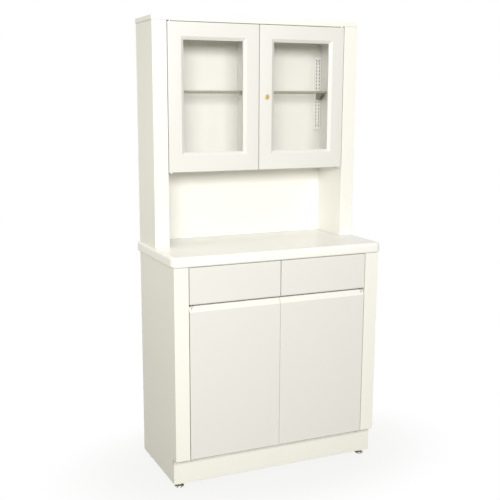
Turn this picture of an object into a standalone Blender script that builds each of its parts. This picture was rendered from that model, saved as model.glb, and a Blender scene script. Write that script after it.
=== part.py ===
"""Glass-door medical cabinet.

A base unit with two drawers and two cupboard doors stands on levelling feet under a worktop. A shallower
glazed unit stands on the back of that worktop, over an open bay. Metres, +Z up. The front faces -Y, and the
origin is on the floor under the middle of the cabinet.
"""
import math

import bmesh
import bpy
from mathutils import Vector

# Whole cabinet
OVERALL_HEIGHT = 1.800
CARCASS_WIDTH = 0.880
CARCASS_DEPTH = 0.410

# Clearances
SEAT_GAP = 0.0003        # between faces that rest on each other
RUN_GAP = 0.0005         # between a door and the boards that carry its pivots
PIN_GAP = 0.0003         # round a pin, stem or plug in its hole
SLIDE_GAP = 0.0003       # round a drawer rail in its runner
REVEAL = 0.003           # round the doors and drawer fronts
DOOR_BACK_GAP = 0.005    # behind a closed door, for its swinging rear corner
CUT_MARGIN = 0.010       # how far a cutter passes the surface that it cuts

# Boards
WALL_WIDTH = 0.058       # hollow side wall, as seen from the front
SKIN = 0.015
BOARD = 0.018
BACK_PANEL = 0.006
FRONT_THICKNESS = 0.020
EDGE_ROUND = 0.0012

# Edges and shading
SHARP_ANGLE = 35         # degrees; flatter edges are shaded smooth
ROUND_ANGLE = 30         # degrees; sharper edges are rounded
ROUND_STEPS = 2
AXIS_MARK = 0.030        # drawn size of the empties on the joints' axes

# Base unit
FOOT_HEIGHT = 0.020
TOE_HEIGHT = 0.104
TOE_RECESS = 0.027
PLINTH_THICKNESS = 0.015
BASE_HEIGHT = 0.884      # floor to the underside of the worktop
FOOT_WEB = 0.036         # solid bottom of a base wall, which takes the feet
DRAWER_FRONT_HEIGHT = 0.139
FINGER_GAP = 0.010       # between the drawer fronts and the doors below
FINGER_DEPTH = 0.045     # from the front to the set-back deck
PULL_RISE = 0.021        # sloped top edge of the lower doors
PULL_RUN = 0.013
GRIP_RISE = 0.012        # relieved lower rear edge of a drawer front
GRIP_RUN = 0.010

# Worktop
TOP_THICKNESS = 0.040
TOP_SIDE_OVERHANG = 0.010
TOP_FRONT_OVERHANG = 0.012
TOP_EDGE_RADIUS = 0.016
TOP_CORNER_EXTRA = 0.002 # plan radius of the front corners beyond the edge's own
TOP_EDGE_STEPS = 5
TOP_CORNER_STEPS = 6

# Drawers and runners
TRAY_REAR_GAP = 0.0334   # behind a closed tray
TRAY_HEIGHT = 0.095
TRAY_SHEET = 0.0015
TRAY_LIFT = 0.012        # above the deck
TRAY_SIDE_GAP = 0.013    # between a tray and the wall or divider beside it
RAIL_HEIGHT = 0.008
RUNNER_SHEET = 0.0015
RUNNER_REAR_GAP = 0.0084 # behind a runner
RUNNER_LIP_GAP = 0.001   # between a runner's lips and the tray

# Glazed unit
HUTCH_SETBACK = 0.209    # from the front of the base to the front of the glazed unit
CAP_THICKNESS = 0.018
CAP_OVERHANG = 0.002
PIVOT_CLEAR = 0.0007     # between an upper pivot plate and the glass door below it
GLASS_DOOR_HEIGHT = 0.562
STOP_RAIL_DEPTH = 0.018
STOP_RAIL_HEIGHT = 0.030

# Glass doors
FRAME_FACE = 0.053       # flat face of a frame member
FRAME_LOW_EXTRA = 0.010  # the bottom member is this much taller
FRAME_BEVEL_WIDTH = 0.012
FRAME_BEVEL_DEPTH = 0.008
FRAME_LAND = 0.0015
REBATE_LAP = 0.008
PANE_THICKNESS = 0.004
PANE_BEVEL = 0.0004
BEAD_SETBACK = 0.0005
BEAD_ROUND = 0.003

# Pivots
PIVOT_INSET = 0.010      # axis from the door's hinge edge
PIVOT_DEPTH = 0.0065     # axis from the door's front face
PIN_RADIUS = 0.0025
PIN_LENGTH = 0.014
PIN_SIDES = 16
PLATE_THICKNESS = 0.003
PLATE_WIDTH = 0.012
PLATE_LAP = 0.035        # how far a pivot plate reaches over its board
PLATE_STEPS = 6

# Lock
LOCK_INSET = 0.032       # from the free edge of the right glass door
LOCK_RISE = 0.286        # above the lower edge of the glass door
LOCK_HEAD_RADIUS = 0.010
LOCK_HEAD_DEPTH = 0.004
LOCK_HEAD_ROUND = 0.0012
LOCK_BODY_RADIUS = 0.008
LOCK_NUT_RADIUS = 0.011
LOCK_NUT_DEPTH = 0.004
LOCK_SIDES = 32
PLUG_RADIUS = 0.0055
PLUG_PROUD = 0.0005
KEYWAY_WIDTH = 0.0012
KEYWAY_LENGTH = 0.007
KEYWAY_DEPTH = 0.003
CAM_CLEAR = 0.003        # from the partition's front edge to the cam
CAM_THICKNESS = 0.0025
CAM_WIDTH = 0.010
CAM_TIP_GAP = 0.0024     # from the turned cam's tip to the strike's leg
CAM_STEPS = 8
STRIKE_SHEET = 0.0018
STRIKE_CLEAR = 0.0015    # from the strike's leg to the shelf behind it
STRIKE_LIP = 0.0117
STRIKE_HEIGHT = 0.036
STRIKE_SETBACK = 0.0005

# Shelves and what carries them
SHELF_RISE = 0.2845      # underside of the glass shelves above the glazed unit's floor
SHELF_THICKNESS = 0.008
SHELF_FRONT_GAP = 0.020  # behind the partition's front edge
SHELF_END_GAP = 0.0015
SHELF_BEVEL = 0.0008
STANDARD_INSET = 0.016   # centre of a slotted standard from the wall's inner face
STANDARD_WIDTH = 0.028
STANDARD_DEPTH = 0.008
STANDARD_SHEET = 0.0015
SLOT_PITCH = 0.0145
SLOT_WIDTH = 0.0035
SLOT_HEIGHT = 0.0085
SLOT_COLUMN = 0.00725    # a column of slots from the standard's centre
SLOTS_BELOW = 9
SLOTS_ABOVE = 10
SLOT_DROP = 0.0075       # first slot's centre below the shelf
BRACKET_DEPTH = 0.046
BRACKET_TOE = 0.022
BRACKET_HEEL = 0.0019    # below the lower hook
BRACKET_NOSE = 0.006
BRACKET_SHEET = 0.0022
HOOK_PLAY = 0.0017       # height of a slot that its hook leaves free
HOOK_DEPTH = 0.0045
STUD_RADIUS = 0.003
STUD_REACH = 0.010
STUD_WEB = 0.002         # left of the wall's skin behind a stud
STUD_FRONT = 0.045       # front studs behind the partition's front edge
STUD_REAR = 0.045        # rear stud from the back panel
STUD_SIDES = 16

# Catches
CATCH_LENGTH = 0.064
CATCH_HEIGHT = 0.014
CATCH_LAP = 0.0193       # how far the double catch reaches under the deck
CATCH_FRONT_GAP = 0.0003
SMALL_CATCH_LENGTH = 0.040
SMALL_CATCH_INSET = 0.060

# Levelling feet
PAD_RADIUS = 0.019
PAD_EDGE = 0.006
PAD_CROWN = 0.011
NUT_RADIUS = 0.0085
STEM_RADIUS = 0.005
STEM_LENGTH = 0.030
FOOT_FROM_TOE = 0.0097   # front feet behind the plinth
FOOT_FROM_BACK = 0.045
FOOT_SIDES = 32

# Planes that the pieces share
FRONT = -(CARCASS_DEPTH - TOP_FRONT_OVERHANG) / 2
BACK = FRONT + CARCASS_DEPTH
BOARD_BACK = BACK - BACK_PANEL - SEAT_GAP
OUTER = CARCASS_WIDTH / 2
INNER = OUTER - WALL_WIDTH
BOARD_END = INNER - SEAT_GAP
PLINTH_FRONT = FRONT + TOE_RECESS
TOE_BACK = PLINTH_FRONT + PLINTH_THICKNESS + SEAT_GAP
FRONT_REAR = FRONT + FRONT_THICKNESS
BASE_BOARD_FRONT = FRONT_REAR + DOOR_BACK_GAP
DECK_FRONT = FRONT + FINGER_DEPTH
BASE_FLOOR_LOW = FOOT_HEIGHT + TOE_HEIGHT
BASE_DOOR_LOW = BASE_FLOOR_LOW + RUN_GAP
DRAWER_TOP = BASE_HEIGHT - REVEAL
DRAWER_LOW = DRAWER_TOP - DRAWER_FRONT_HEIGHT
BASE_DOOR_TOP = DRAWER_LOW - FINGER_GAP
DECK_TOP = BASE_DOOR_TOP + RUN_GAP
TOP_FACE = BASE_HEIGHT + TOP_THICKNESS
TOP_CORNER_RADIUS = TOP_EDGE_RADIUS + TOP_CORNER_EXTRA
TRAY_FRONT = FRONT_REAR + SEAT_GAP
TRAY_REAR = BOARD_BACK - TRAY_REAR_GAP
TRAY_LOW = DECK_TOP + TRAY_LIFT
TRAY_TOP = TRAY_LOW + TRAY_HEIGHT
HUTCH_FRONT = FRONT + HUTCH_SETBACK
HUTCH_BOARD_FRONT = HUTCH_FRONT + FRONT_THICKNESS + DOOR_BACK_GAP
CAP_LOW = OVERALL_HEIGHT - CAP_THICKNESS
PIVOT_GAP = SEAT_GAP + PLATE_THICKNESS + PIVOT_CLEAR
GLASS_DOOR_TOP = CAP_LOW - PIVOT_GAP
GLASS_DOOR_LOW = GLASS_DOOR_TOP - GLASS_DOOR_HEIGHT
HUTCH_FLOOR_LOW = GLASS_DOOR_LOW - RUN_GAP
HUTCH_FLOOR_TOP = HUTCH_FLOOR_LOW + BOARD
DOOR_OUTER = INNER - REVEAL
DOOR_INNER = REVEAL / 2
PIVOT_X = DOOR_OUTER - PIVOT_INSET
LOCK_X = DOOR_INNER + LOCK_INSET
LOCK_HEIGHT = GLASS_DOOR_LOW + LOCK_RISE
PARTITION_FACE = BOARD / 2
STRIKE_FACE = PARTITION_FACE + SEAT_GAP
STRIKE_LEG = SHELF_FRONT_GAP - STRIKE_SETBACK - STRIKE_CLEAR
CAM_LENGTH = LOCK_X - STRIKE_FACE - STRIKE_SHEET - CAM_TIP_GAP
SHELF_HEIGHT = HUTCH_FLOOR_TOP + SHELF_RISE
STANDARD_REAR = BACK - BACK_PANEL - SEAT_GAP
STANDARD_FRONT = STANDARD_REAR - STANDARD_DEPTH
SHELF_REAR = STANDARD_FRONT - SEAT_GAP
FIRST_SLOT = SHELF_HEIGHT - SLOT_DROP
HOOK_HEIGHT = SLOT_HEIGHT - HOOK_PLAY
BRACKET_LOW = FIRST_SLOT - SLOT_PITCH - HOOK_HEIGHT / 2 - BRACKET_HEEL
STUD_SET = SKIN - STUD_WEB
STUD_HEIGHT = SHELF_HEIGHT - SEAT_GAP - STUD_RADIUS
STUD_FRONT_Y = HUTCH_BOARD_FRONT + STUD_FRONT
STUD_REAR_Y = BOARD_BACK - STUD_REAR
SLOPED_PIN = PIN_LENGTH + PULL_RISE * max(0, 1 - PIVOT_DEPTH / PULL_RUN)  # reaches past a sloped door edge

SIDES = {"left": -1, "right": 1}


def clear_scene():
    """Remove what the scene held before."""
    for item in list(bpy.data.objects):
        bpy.data.objects.remove(item, do_unlink=True)


def paint(name, colour, roughness, metallic=0.0, alpha=1.0):
    """Make one plain material."""
    material = bpy.data.materials.new(name)
    material.use_nodes = True
    shader = material.node_tree.nodes["Principled BSDF"]
    shader.inputs["Base Color"].default_value = (*colour, 1.0)
    shader.inputs["Roughness"].default_value = roughness
    shader.inputs["Metallic"].default_value = metallic
    shader.inputs["Alpha"].default_value = alpha
    return material


def make_materials():
    """Make the finishes that the pieces share."""
    return {
        "carcass": paint("carcass_paint", (0.93, 0.91, 0.83), 0.35),
        "front": paint("front_paint", (0.85, 0.84, 0.80), 0.38),
        "worktop": paint("worktop_laminate", (0.88, 0.86, 0.79), 0.25),
        "steel": paint("zinc_steel", (0.55, 0.55, 0.54), 0.35, 1.0),
        "foot": paint("foot_chrome", (0.62, 0.61, 0.58), 0.25, 1.0),
        "glass": paint("clear_glass", (0.85, 0.92, 0.89), 0.05, 0.0, 0.25),
        "shelf": paint("shelf_glass", (0.45, 0.56, 0.48), 0.05, 0.0, 0.45),
        "brass": paint("lock_brass", (0.72, 0.50, 0.18), 0.30, 1.0),
        "standard": paint("standard_paint", (0.90, 0.89, 0.83), 0.40),
        "bracket": paint("bracket_enamel", (0.05, 0.05, 0.04), 0.45),
        "tray": paint("tray_enamel", (0.70, 0.70, 0.67), 0.45),
        "bead": paint("bead_vinyl", (0.80, 0.79, 0.75), 0.55),
        "catch": paint("catch_nylon", (0.75, 0.73, 0.68), 0.50),
    }


def pivot_frame(name, place, parent=None):
    """Put an empty on a joint's axis, to carry the pieces that move about it."""
    empty = bpy.data.objects.new(name, None)
    empty.empty_display_size = AXIS_MARK
    empty["place"] = tuple(place)
    empty.parent = parent
    origin = Vector(parent["place"]) if parent else Vector((0, 0, 0))
    empty.location = Vector(place) - origin
    bpy.context.collection.objects.link(empty)
    return empty


def link_mesh(name, bm, frame=None):
    """Turn world-space bmesh points into an object that hangs on a frame."""
    bmesh.ops.recalc_face_normals(bm, faces=bm.faces)
    if frame:
        bmesh.ops.translate(bm, verts=bm.verts, vec=-Vector(frame["place"]))
    mesh = bpy.data.meshes.new(name)
    bm.to_mesh(mesh)
    bm.free()
    item = bpy.data.objects.new(name, mesh)
    item.parent = frame
    bpy.context.collection.objects.link(item)
    return item


def node(name, bm, material, frame=None, edge=0.0, smooth=False):
    """Make one piece, with an optional small round on its sharp edges."""
    item = link_mesh(name, bm, frame)
    item.data.materials.append(material)
    if smooth:
        item.data.shade_smooth()
        item.data.set_sharp_from_angle(angle=math.radians(SHARP_ANGLE))
    if edge:
        bevel = item.modifiers.new("edge_round", "BEVEL")
        bevel.width = edge
        bevel.segments = ROUND_STEPS
        bevel.limit_method = "ANGLE"
        bevel.angle_limit = math.radians(ROUND_ANGLE)
    return item


def cut(item, name, bm, operation="DIFFERENCE"):
    """Cut a piece with, or join it to, the shape in bm."""
    cutter = link_mesh(name, bm)
    cutter.hide_render = True
    cutter.display_type = "WIRE"
    boolean = item.modifiers.new(name, "BOOLEAN")
    boolean.operation = operation
    boolean.solver = "EXACT"
    boolean.object = cutter


def prism(outline, axis, start, end):
    """Extrude a closed outline along an axis; its points are in the other two axes, in X, Y, Z order."""
    slot = "XYZ".index(axis)
    return loft([[(*point[:slot], along, *point[slot:]) for point in outline] for along in (start, end)])


def loft(loops, ring=False):
    """Skin loops of equally many points, and close the ends, or join the last loop to the first."""
    bm = bmesh.new()
    rows = [[bm.verts.new(point) for point in loop] for loop in loops]
    pairs = list(zip(rows, rows[1:]))
    if ring:
        pairs.append((rows[-1], rows[0]))
    else:
        bm.faces.new(rows[0])
        bm.faces.new(rows[-1])
    for low, high in pairs:
        for index in range(len(low)):
            after = (index + 1) % len(low)
            bm.faces.new((low[index], low[after], high[after], high[index]))
    return bm


def box(low, high):
    """Make a block between two corners, given in any order."""
    (x0, y0, z0), (x1, y1, z1) = low, high
    return prism([(x0, y0), (x1, y0), (x1, y1), (x0, y1)], "Z", z0, z1)


def turned(profile, centre, axis, sides, ring=False):
    """Turn a profile of (radius, distance along the axis) about a line through centre."""
    cx, cy, cz = centre
    place = {
        "X": lambda u, v, d: (cx + d, cy + u, cz + v),
        "Y": lambda u, v, d: (cx + u, cy + d, cz + v),
        "Z": lambda u, v, d: (cx + u, cy + v, cz + d),
    }[axis]
    angles = [2 * math.pi * step / sides for step in range(sides)]
    return loft([[place(r * math.cos(a), r * math.sin(a), d) for a in angles] for r, d in profile], ring)


def rod(radius, start, end, centre, axis, sides):
    """Make a plain round bar."""
    return turned([(radius, start), (radius, end)], centre, axis, sides)


def arc(centre, radius, start, end, steps):
    """Points of a circular arc, with angles in degrees."""
    points = []
    for step in range(steps + 1):
        angle = math.radians(start + (end - start) * step / steps)
        points.append((centre[0] + radius * math.cos(angle), centre[1] + radius * math.sin(angle)))
    return points


def merge(shapes):
    """Put several separate shapes into one bmesh, to cut with them all at once."""
    whole = bmesh.new()
    for shape in shapes:
        mesh = bpy.data.meshes.new("part_of_cutter")
        shape.to_mesh(mesh)
        shape.free()
        whole.from_mesh(mesh)
        bpy.data.meshes.remove(mesh)
    return whole


def build_base_walls(paints, frame):
    """Hollow side walls with a toe notch, a solid bottom for the feet and an open back."""
    top = BASE_HEIGHT - SEAT_GAP
    outline = [
        (FRONT, top), (FRONT, BASE_FLOOR_LOW), (TOE_BACK, BASE_FLOOR_LOW),
        (TOE_BACK, FOOT_HEIGHT), (BOARD_BACK, FOOT_HEIGHT), (BOARD_BACK, top),
    ]
    past_back = BOARD_BACK + CUT_MARGIN
    hollow = [
        (FRONT + SKIN, top - SKIN), (FRONT + SKIN, BASE_FLOOR_LOW + SKIN),
        (TOE_BACK + SKIN, BASE_FLOOR_LOW + SKIN), (TOE_BACK + SKIN, FOOT_HEIGHT + FOOT_WEB),
        (past_back, FOOT_HEIGHT + FOOT_WEB), (past_back, top - SKIN),
    ]
    for hand, side in SIDES.items():
        wall = node(f"base_wall_{hand}", prism(outline, "X", side * INNER, side * OUTER), paints["carcass"],
                    frame, EDGE_ROUND)
        cut(wall, f"cut_base_wall_{hand}_hollow",
            prism(hollow, "X", side * (INNER + SKIN), side * (OUTER - SKIN)))
        holes = [rod(STEM_RADIUS + PIN_GAP, -CUT_MARGIN, STEM_LENGTH + PIN_GAP, place, "Z", FOOT_SIDES)
                 for place in foot_places(side, FOOT_HEIGHT)]
        cut(wall, f"cut_base_wall_{hand}_stems", merge(holes))


def foot_places(side, height):
    """Front and rear foot centres on one side."""
    x = side * (OUTER - WALL_WIDTH / 2)
    return [(x, TOE_BACK + FOOT_FROM_TOE, height), (x, BOARD_BACK - FOOT_FROM_BACK, height)]


def build_base_boards(paints, frame):
    """Floor, back, plinth, drawer deck and the divider between the drawers."""
    carcass = paints["carcass"]
    node("base_floor", box((-BOARD_END, BASE_BOARD_FRONT, BASE_FLOOR_LOW),
                           (BOARD_END, BOARD_BACK, BASE_FLOOR_LOW + BOARD)), carcass, frame, EDGE_ROUND)
    node("base_back", box((-OUTER, BACK - BACK_PANEL, FOOT_HEIGHT),
                          (OUTER, BACK, BASE_HEIGHT - SEAT_GAP)), carcass, frame, EDGE_ROUND)
    plinth_top = BASE_FLOOR_LOW - SEAT_GAP - PLATE_THICKNESS - SEAT_GAP
    node("plinth", box((-OUTER, PLINTH_FRONT, FOOT_HEIGHT),
                       (OUTER, PLINTH_FRONT + PLINTH_THICKNESS, plinth_top)), carcass, frame, EDGE_ROUND)
    node("drawer_deck", box((-BOARD_END, DECK_FRONT, DECK_TOP - BOARD),
                            (BOARD_END, BOARD_BACK, DECK_TOP)), carcass, frame, EDGE_ROUND)
    node("drawer_divider", box((-PARTITION_FACE, DECK_FRONT, DECK_TOP + SEAT_GAP),
                               (PARTITION_FACE, BOARD_BACK, BASE_HEIGHT - SEAT_GAP)),
         carcass, frame, EDGE_ROUND)


def worktop_loop(inset, height):
    """Plan outline of the worktop, drawn in from its front and ends but not from its back."""
    end = OUTER + TOP_SIDE_OVERHANG - inset
    front = FRONT - TOP_FRONT_OVERHANG + inset
    radius = TOP_CORNER_RADIUS - inset
    left = arc((-end + radius, front + radius), radius, 180, 270, TOP_CORNER_STEPS)
    right = arc((end - radius, front + radius), radius, 270, 360, TOP_CORNER_STEPS)
    return [(x, y, height) for x, y in [(-end, BACK)] + left + right + [(end, BACK)]]


def build_worktop(paints, frame):
    """One slab with rounded front corners and a round on the upper and lower edges of its front and ends."""
    radius = TOP_EDGE_RADIUS
    section = (arc((radius, BASE_HEIGHT + radius), radius, 270, 180, TOP_EDGE_STEPS)
               + arc((radius, TOP_FACE - radius), radius, 180, 90, TOP_EDGE_STEPS))
    node("worktop", loft([worktop_loop(inset, height) for inset, height in section]), paints["worktop"],
         frame, smooth=True)


def build_feet(paints, frame):
    """Screw feet: a pad, a locknut and a stem that turns in the wall's solid bottom."""
    profile = [
        (PAD_RADIUS, 0), (PAD_RADIUS, PAD_EDGE), (NUT_RADIUS, PAD_CROWN),
        (NUT_RADIUS, FOOT_HEIGHT - SEAT_GAP), (STEM_RADIUS, FOOT_HEIGHT - SEAT_GAP),
        (STEM_RADIUS, FOOT_HEIGHT + STEM_LENGTH),
    ]
    for hand, side in SIDES.items():
        for end, place in zip(("front", "rear"), foot_places(side, 0)):
            axis = pivot_frame(f"foot_{hand}_{end}_axis", place, frame)
            node(f"foot_{hand}_{end}", turned(profile, place, "Z", FOOT_SIDES), paints["foot"], axis,
                 smooth=True)


def build_pivots(paints, frame):
    """Flat plates with a pin, screwed to the boards above and below each door."""
    levels = {
        "glass_door": (HUTCH_FRONT, HUTCH_BOARD_FRONT, HUTCH_BOARD_FRONT, PIN_LENGTH,
                       CAP_LOW - SEAT_GAP - PLATE_THICKNESS, HUTCH_FLOOR_LOW - SEAT_GAP - PLATE_THICKNESS),
        "base_door": (FRONT, DECK_FRONT, BASE_BOARD_FRONT, SLOPED_PIN,
                      DECK_TOP + SEAT_GAP, BASE_FLOOR_LOW - SEAT_GAP - PLATE_THICKNESS),
    }
    for door, (face, upper_board, lower_board, upper_pin, upper_low, lower_low) in levels.items():
        y = face + PIVOT_DEPTH
        for hand, side in SIDES.items():
            x = side * PIVOT_X
            for level, board, low, pin in (("top", upper_board, upper_low, -upper_pin),
                                           ("bottom", lower_board, lower_low, PLATE_THICKNESS + PIN_LENGTH)):
                outline = (arc((x, y), PLATE_WIDTH / 2, 180, 360, PLATE_STEPS)
                           + arc((x, board + PLATE_LAP), PLATE_WIDTH / 2, 0, 180, PLATE_STEPS))
                plate = node(f"{door}_pivot_{hand}_{level}", prism(outline, "Z", low, low + PLATE_THICKNESS),
                             paints["steel"], frame)
                cut(plate, f"pin_{door}_{hand}_{level}",
                    rod(PIN_RADIUS, PLATE_THICKNESS / 2, pin, (x, y, low), "Z", PIN_SIDES), "UNION")


def pivot_bores(face, low, high, upper_pin, side):
    """Blind holes for the pins in the ends of a door's hinge edge."""
    x = side * PIVOT_X
    y = face + PIVOT_DEPTH
    radius = PIN_RADIUS + PIN_GAP
    return [rod(radius, -upper_pin - RUN_GAP, CUT_MARGIN, (x, y, high), "Z", PIN_SIDES),
            rod(radius, -CUT_MARGIN, PIN_LENGTH + RUN_GAP, (x, y, low), "Z", PIN_SIDES)]


def build_base_doors(paints, frame):
    """Flat doors with a sloped upper front edge, which leaves room for the fingers under the drawers."""
    outline = [
        (FRONT, BASE_DOOR_LOW), (FRONT, BASE_DOOR_TOP - PULL_RISE), (FRONT + PULL_RUN, BASE_DOOR_TOP),
        (FRONT_REAR, BASE_DOOR_TOP), (FRONT_REAR, BASE_DOOR_LOW),
    ]
    for hand, side in SIDES.items():
        place = (side * PIVOT_X, FRONT + PIVOT_DEPTH, BASE_DOOR_LOW)
        axis = pivot_frame(f"base_door_{hand}_axis", place, frame)
        door = node(f"base_door_{hand}", prism(outline, "X", side * DOOR_INNER, side * DOOR_OUTER),
                    paints["front"], axis, EDGE_ROUND)
        cut(door, f"cut_base_door_{hand}_bores",
            merge(pivot_bores(FRONT, BASE_DOOR_LOW, BASE_DOOR_TOP, SLOPED_PIN, side)))


def tray_span(side):
    """Inner and outer faces of a tray, between the divider and the wall."""
    return side * (PARTITION_FACE + TRAY_SIDE_GAP), side * (INNER - TRAY_SIDE_GAP)


def build_drawers(paints, frame):
    """A front board, and a folded tray whose side rails ride in the runners."""
    face = [
        (FRONT, DRAWER_LOW), (FRONT, DRAWER_TOP), (FRONT_REAR, DRAWER_TOP),
        (FRONT_REAR, DRAWER_LOW + GRIP_RISE), (FRONT_REAR - GRIP_RUN, DRAWER_LOW),
    ]
    rail_low = TRAY_TOP - RAIL_HEIGHT
    rail = TRAY_SIDE_GAP - SEAT_GAP - RUNNER_SHEET - SLIDE_GAP
    for hand, side in SIDES.items():
        inner, outer = tray_span(side)
        axis = pivot_frame(f"drawer_{hand}_slide", ((inner + outer) / 2, FRONT, TRAY_LOW), frame)
        node(f"drawer_front_{hand}", prism(face, "X", side * DOOR_INNER, side * DOOR_OUTER),
             paints["front"], axis, EDGE_ROUND)
        outline = [
            (inner, TRAY_LOW), (outer, TRAY_LOW), (outer, rail_low), (outer + side * rail, rail_low),
            (outer + side * rail, TRAY_TOP), (inner - side * rail, TRAY_TOP),
            (inner - side * rail, rail_low), (inner, rail_low),
        ]
        tray = node(f"drawer_tray_{hand}", prism(outline, "Y", TRAY_FRONT, TRAY_REAR), paints["tray"], axis)
        cut(tray, f"cut_drawer_tray_{hand}",
            box((inner + side * TRAY_SHEET, TRAY_FRONT + TRAY_SHEET, TRAY_LOW + TRAY_SHEET),
                (outer - side * TRAY_SHEET, TRAY_REAR - TRAY_SHEET, TRAY_TOP + CUT_MARGIN)))


def build_runners(paints, frame):
    """Channels on the walls and the divider, open towards the trays."""
    inside_low = TRAY_TOP - RAIL_HEIGHT - SLIDE_GAP
    inside_high = TRAY_TOP + SLIDE_GAP
    for hand, side in SIDES.items():
        for place, face, way in (("inner", side * PARTITION_FACE, side), ("outer", side * INNER, -side)):
            web = face + way * SEAT_GAP
            web_inside = web + way * RUNNER_SHEET
            lip = face + way * (TRAY_SIDE_GAP - RUNNER_LIP_GAP)
            outline = [
                (web, inside_low - RUNNER_SHEET), (lip, inside_low - RUNNER_SHEET), (lip, inside_low),
                (web_inside, inside_low), (web_inside, inside_high), (lip, inside_high),
                (lip, inside_high + RUNNER_SHEET), (web, inside_high + RUNNER_SHEET),
            ]
            node(f"runner_{hand}_{place}", prism(outline, "Y", DECK_FRONT, BOARD_BACK - RUNNER_REAR_GAP),
                 paints["steel"], frame)


def build_hutch_walls(paints, frame):
    """Hollow side walls of the glazed unit, which also enclose the open bay."""
    low = TOP_FACE + SEAT_GAP
    high = CAP_LOW - SEAT_GAP
    for hand, side in SIDES.items():
        wall = node(f"hutch_wall_{hand}",
                    box((side * INNER, HUTCH_FRONT, low), (side * OUTER, BOARD_BACK, high)),
                    paints["carcass"], frame, EDGE_ROUND)
        cut(wall, f"cut_hutch_wall_{hand}_hollow",
            box((side * (INNER + SKIN), HUTCH_FRONT + SKIN, low + SKIN),
                (side * (OUTER - SKIN), BOARD_BACK + CUT_MARGIN, high - SKIN)))
        ends = sorted((side * (INNER - CUT_MARGIN), side * (INNER + STUD_SET + PIN_GAP)))
        cut(wall, f"cut_hutch_wall_{hand}_stud",
            rod(STUD_RADIUS + PIN_GAP, *ends, (0, STUD_FRONT_Y, STUD_HEIGHT), "X", STUD_SIDES))


def build_hutch_boards(paints, frame):
    """Cap, back, floor, door stop and the notched partition of the glazed unit."""
    carcass = paints["carcass"]
    stop_rear = HUTCH_BOARD_FRONT + STOP_RAIL_DEPTH
    stop_low = CAP_LOW - SEAT_GAP - STOP_RAIL_HEIGHT
    node("hutch_cap", box((-OUTER - CAP_OVERHANG, HUTCH_FRONT, CAP_LOW),
                          (OUTER + CAP_OVERHANG, BACK, OVERALL_HEIGHT)), carcass, frame, EDGE_ROUND)
    node("hutch_back", box((-OUTER, BACK - BACK_PANEL, TOP_FACE + SEAT_GAP),
                           (OUTER, BACK, CAP_LOW - SEAT_GAP)), carcass, frame, EDGE_ROUND)
    node("hutch_floor", box((-BOARD_END, HUTCH_BOARD_FRONT, HUTCH_FLOOR_LOW),
                            (BOARD_END, BOARD_BACK, HUTCH_FLOOR_TOP)), carcass, frame, EDGE_ROUND)
    stop_end = PIVOT_X - PLATE_WIDTH / 2 - RUN_GAP
    node("door_stop_rail", box((-stop_end, HUTCH_BOARD_FRONT, stop_low),
                               (stop_end, stop_rear, CAP_LOW - SEAT_GAP)), carcass, frame, EDGE_ROUND)
    partition = [
        (HUTCH_BOARD_FRONT, HUTCH_FLOOR_TOP + SEAT_GAP), (BOARD_BACK, HUTCH_FLOOR_TOP + SEAT_GAP),
        (BOARD_BACK, CAP_LOW - SEAT_GAP), (stop_rear + SEAT_GAP, CAP_LOW - SEAT_GAP),
        (stop_rear + SEAT_GAP, stop_low - SEAT_GAP), (HUTCH_BOARD_FRONT, stop_low - SEAT_GAP),
    ]
    board = node("hutch_partition", prism(partition, "X", -PARTITION_FACE, PARTITION_FACE), carcass, frame,
                 EDGE_ROUND)
    reach = PARTITION_FACE + CUT_MARGIN
    cut(board, "cut_partition_studs",
        merge([rod(STUD_RADIUS + PIN_GAP, -reach, reach, (0, y, STUD_HEIGHT), "X", STUD_SIDES)
               for y in (STUD_FRONT_Y, STUD_REAR_Y)]))


def build_shelves(paints, frame):
    """Glass shelves, the studs under their ends and the slotted standards with their brackets."""
    front = HUTCH_BOARD_FRONT + SHELF_FRONT_GAP
    for hand, side in SIDES.items():
        node(f"glass_shelf_{hand}",
             box((side * (PARTITION_FACE + SHELF_END_GAP), front, SHELF_HEIGHT),
                 (side * (INNER - SHELF_END_GAP), SHELF_REAR, SHELF_HEIGHT + SHELF_THICKNESS)),
             paints["shelf"], frame, SHELF_BEVEL)
        ends = sorted((side * (INNER - STUD_REACH), side * (INNER + STUD_SET)))
        node(f"shelf_stud_wall_{hand}",
             rod(STUD_RADIUS, *ends, (0, STUD_FRONT_Y, STUD_HEIGHT), "X", STUD_SIDES),
             paints["steel"], frame, smooth=True)
        build_standard(hand, side * (INNER - STANDARD_INSET), paints, frame)
        build_bracket(hand, side * (INNER - STANDARD_INSET), paints, frame)
    reach = PARTITION_FACE + STUD_REACH
    for end, y in (("front", STUD_FRONT_Y), ("rear", STUD_REAR_Y)):
        node(f"shelf_stud_partition_{end}",
             rod(STUD_RADIUS, -reach, reach, (0, y, STUD_HEIGHT), "X", STUD_SIDES),
             paints["steel"], frame, smooth=True)


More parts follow.
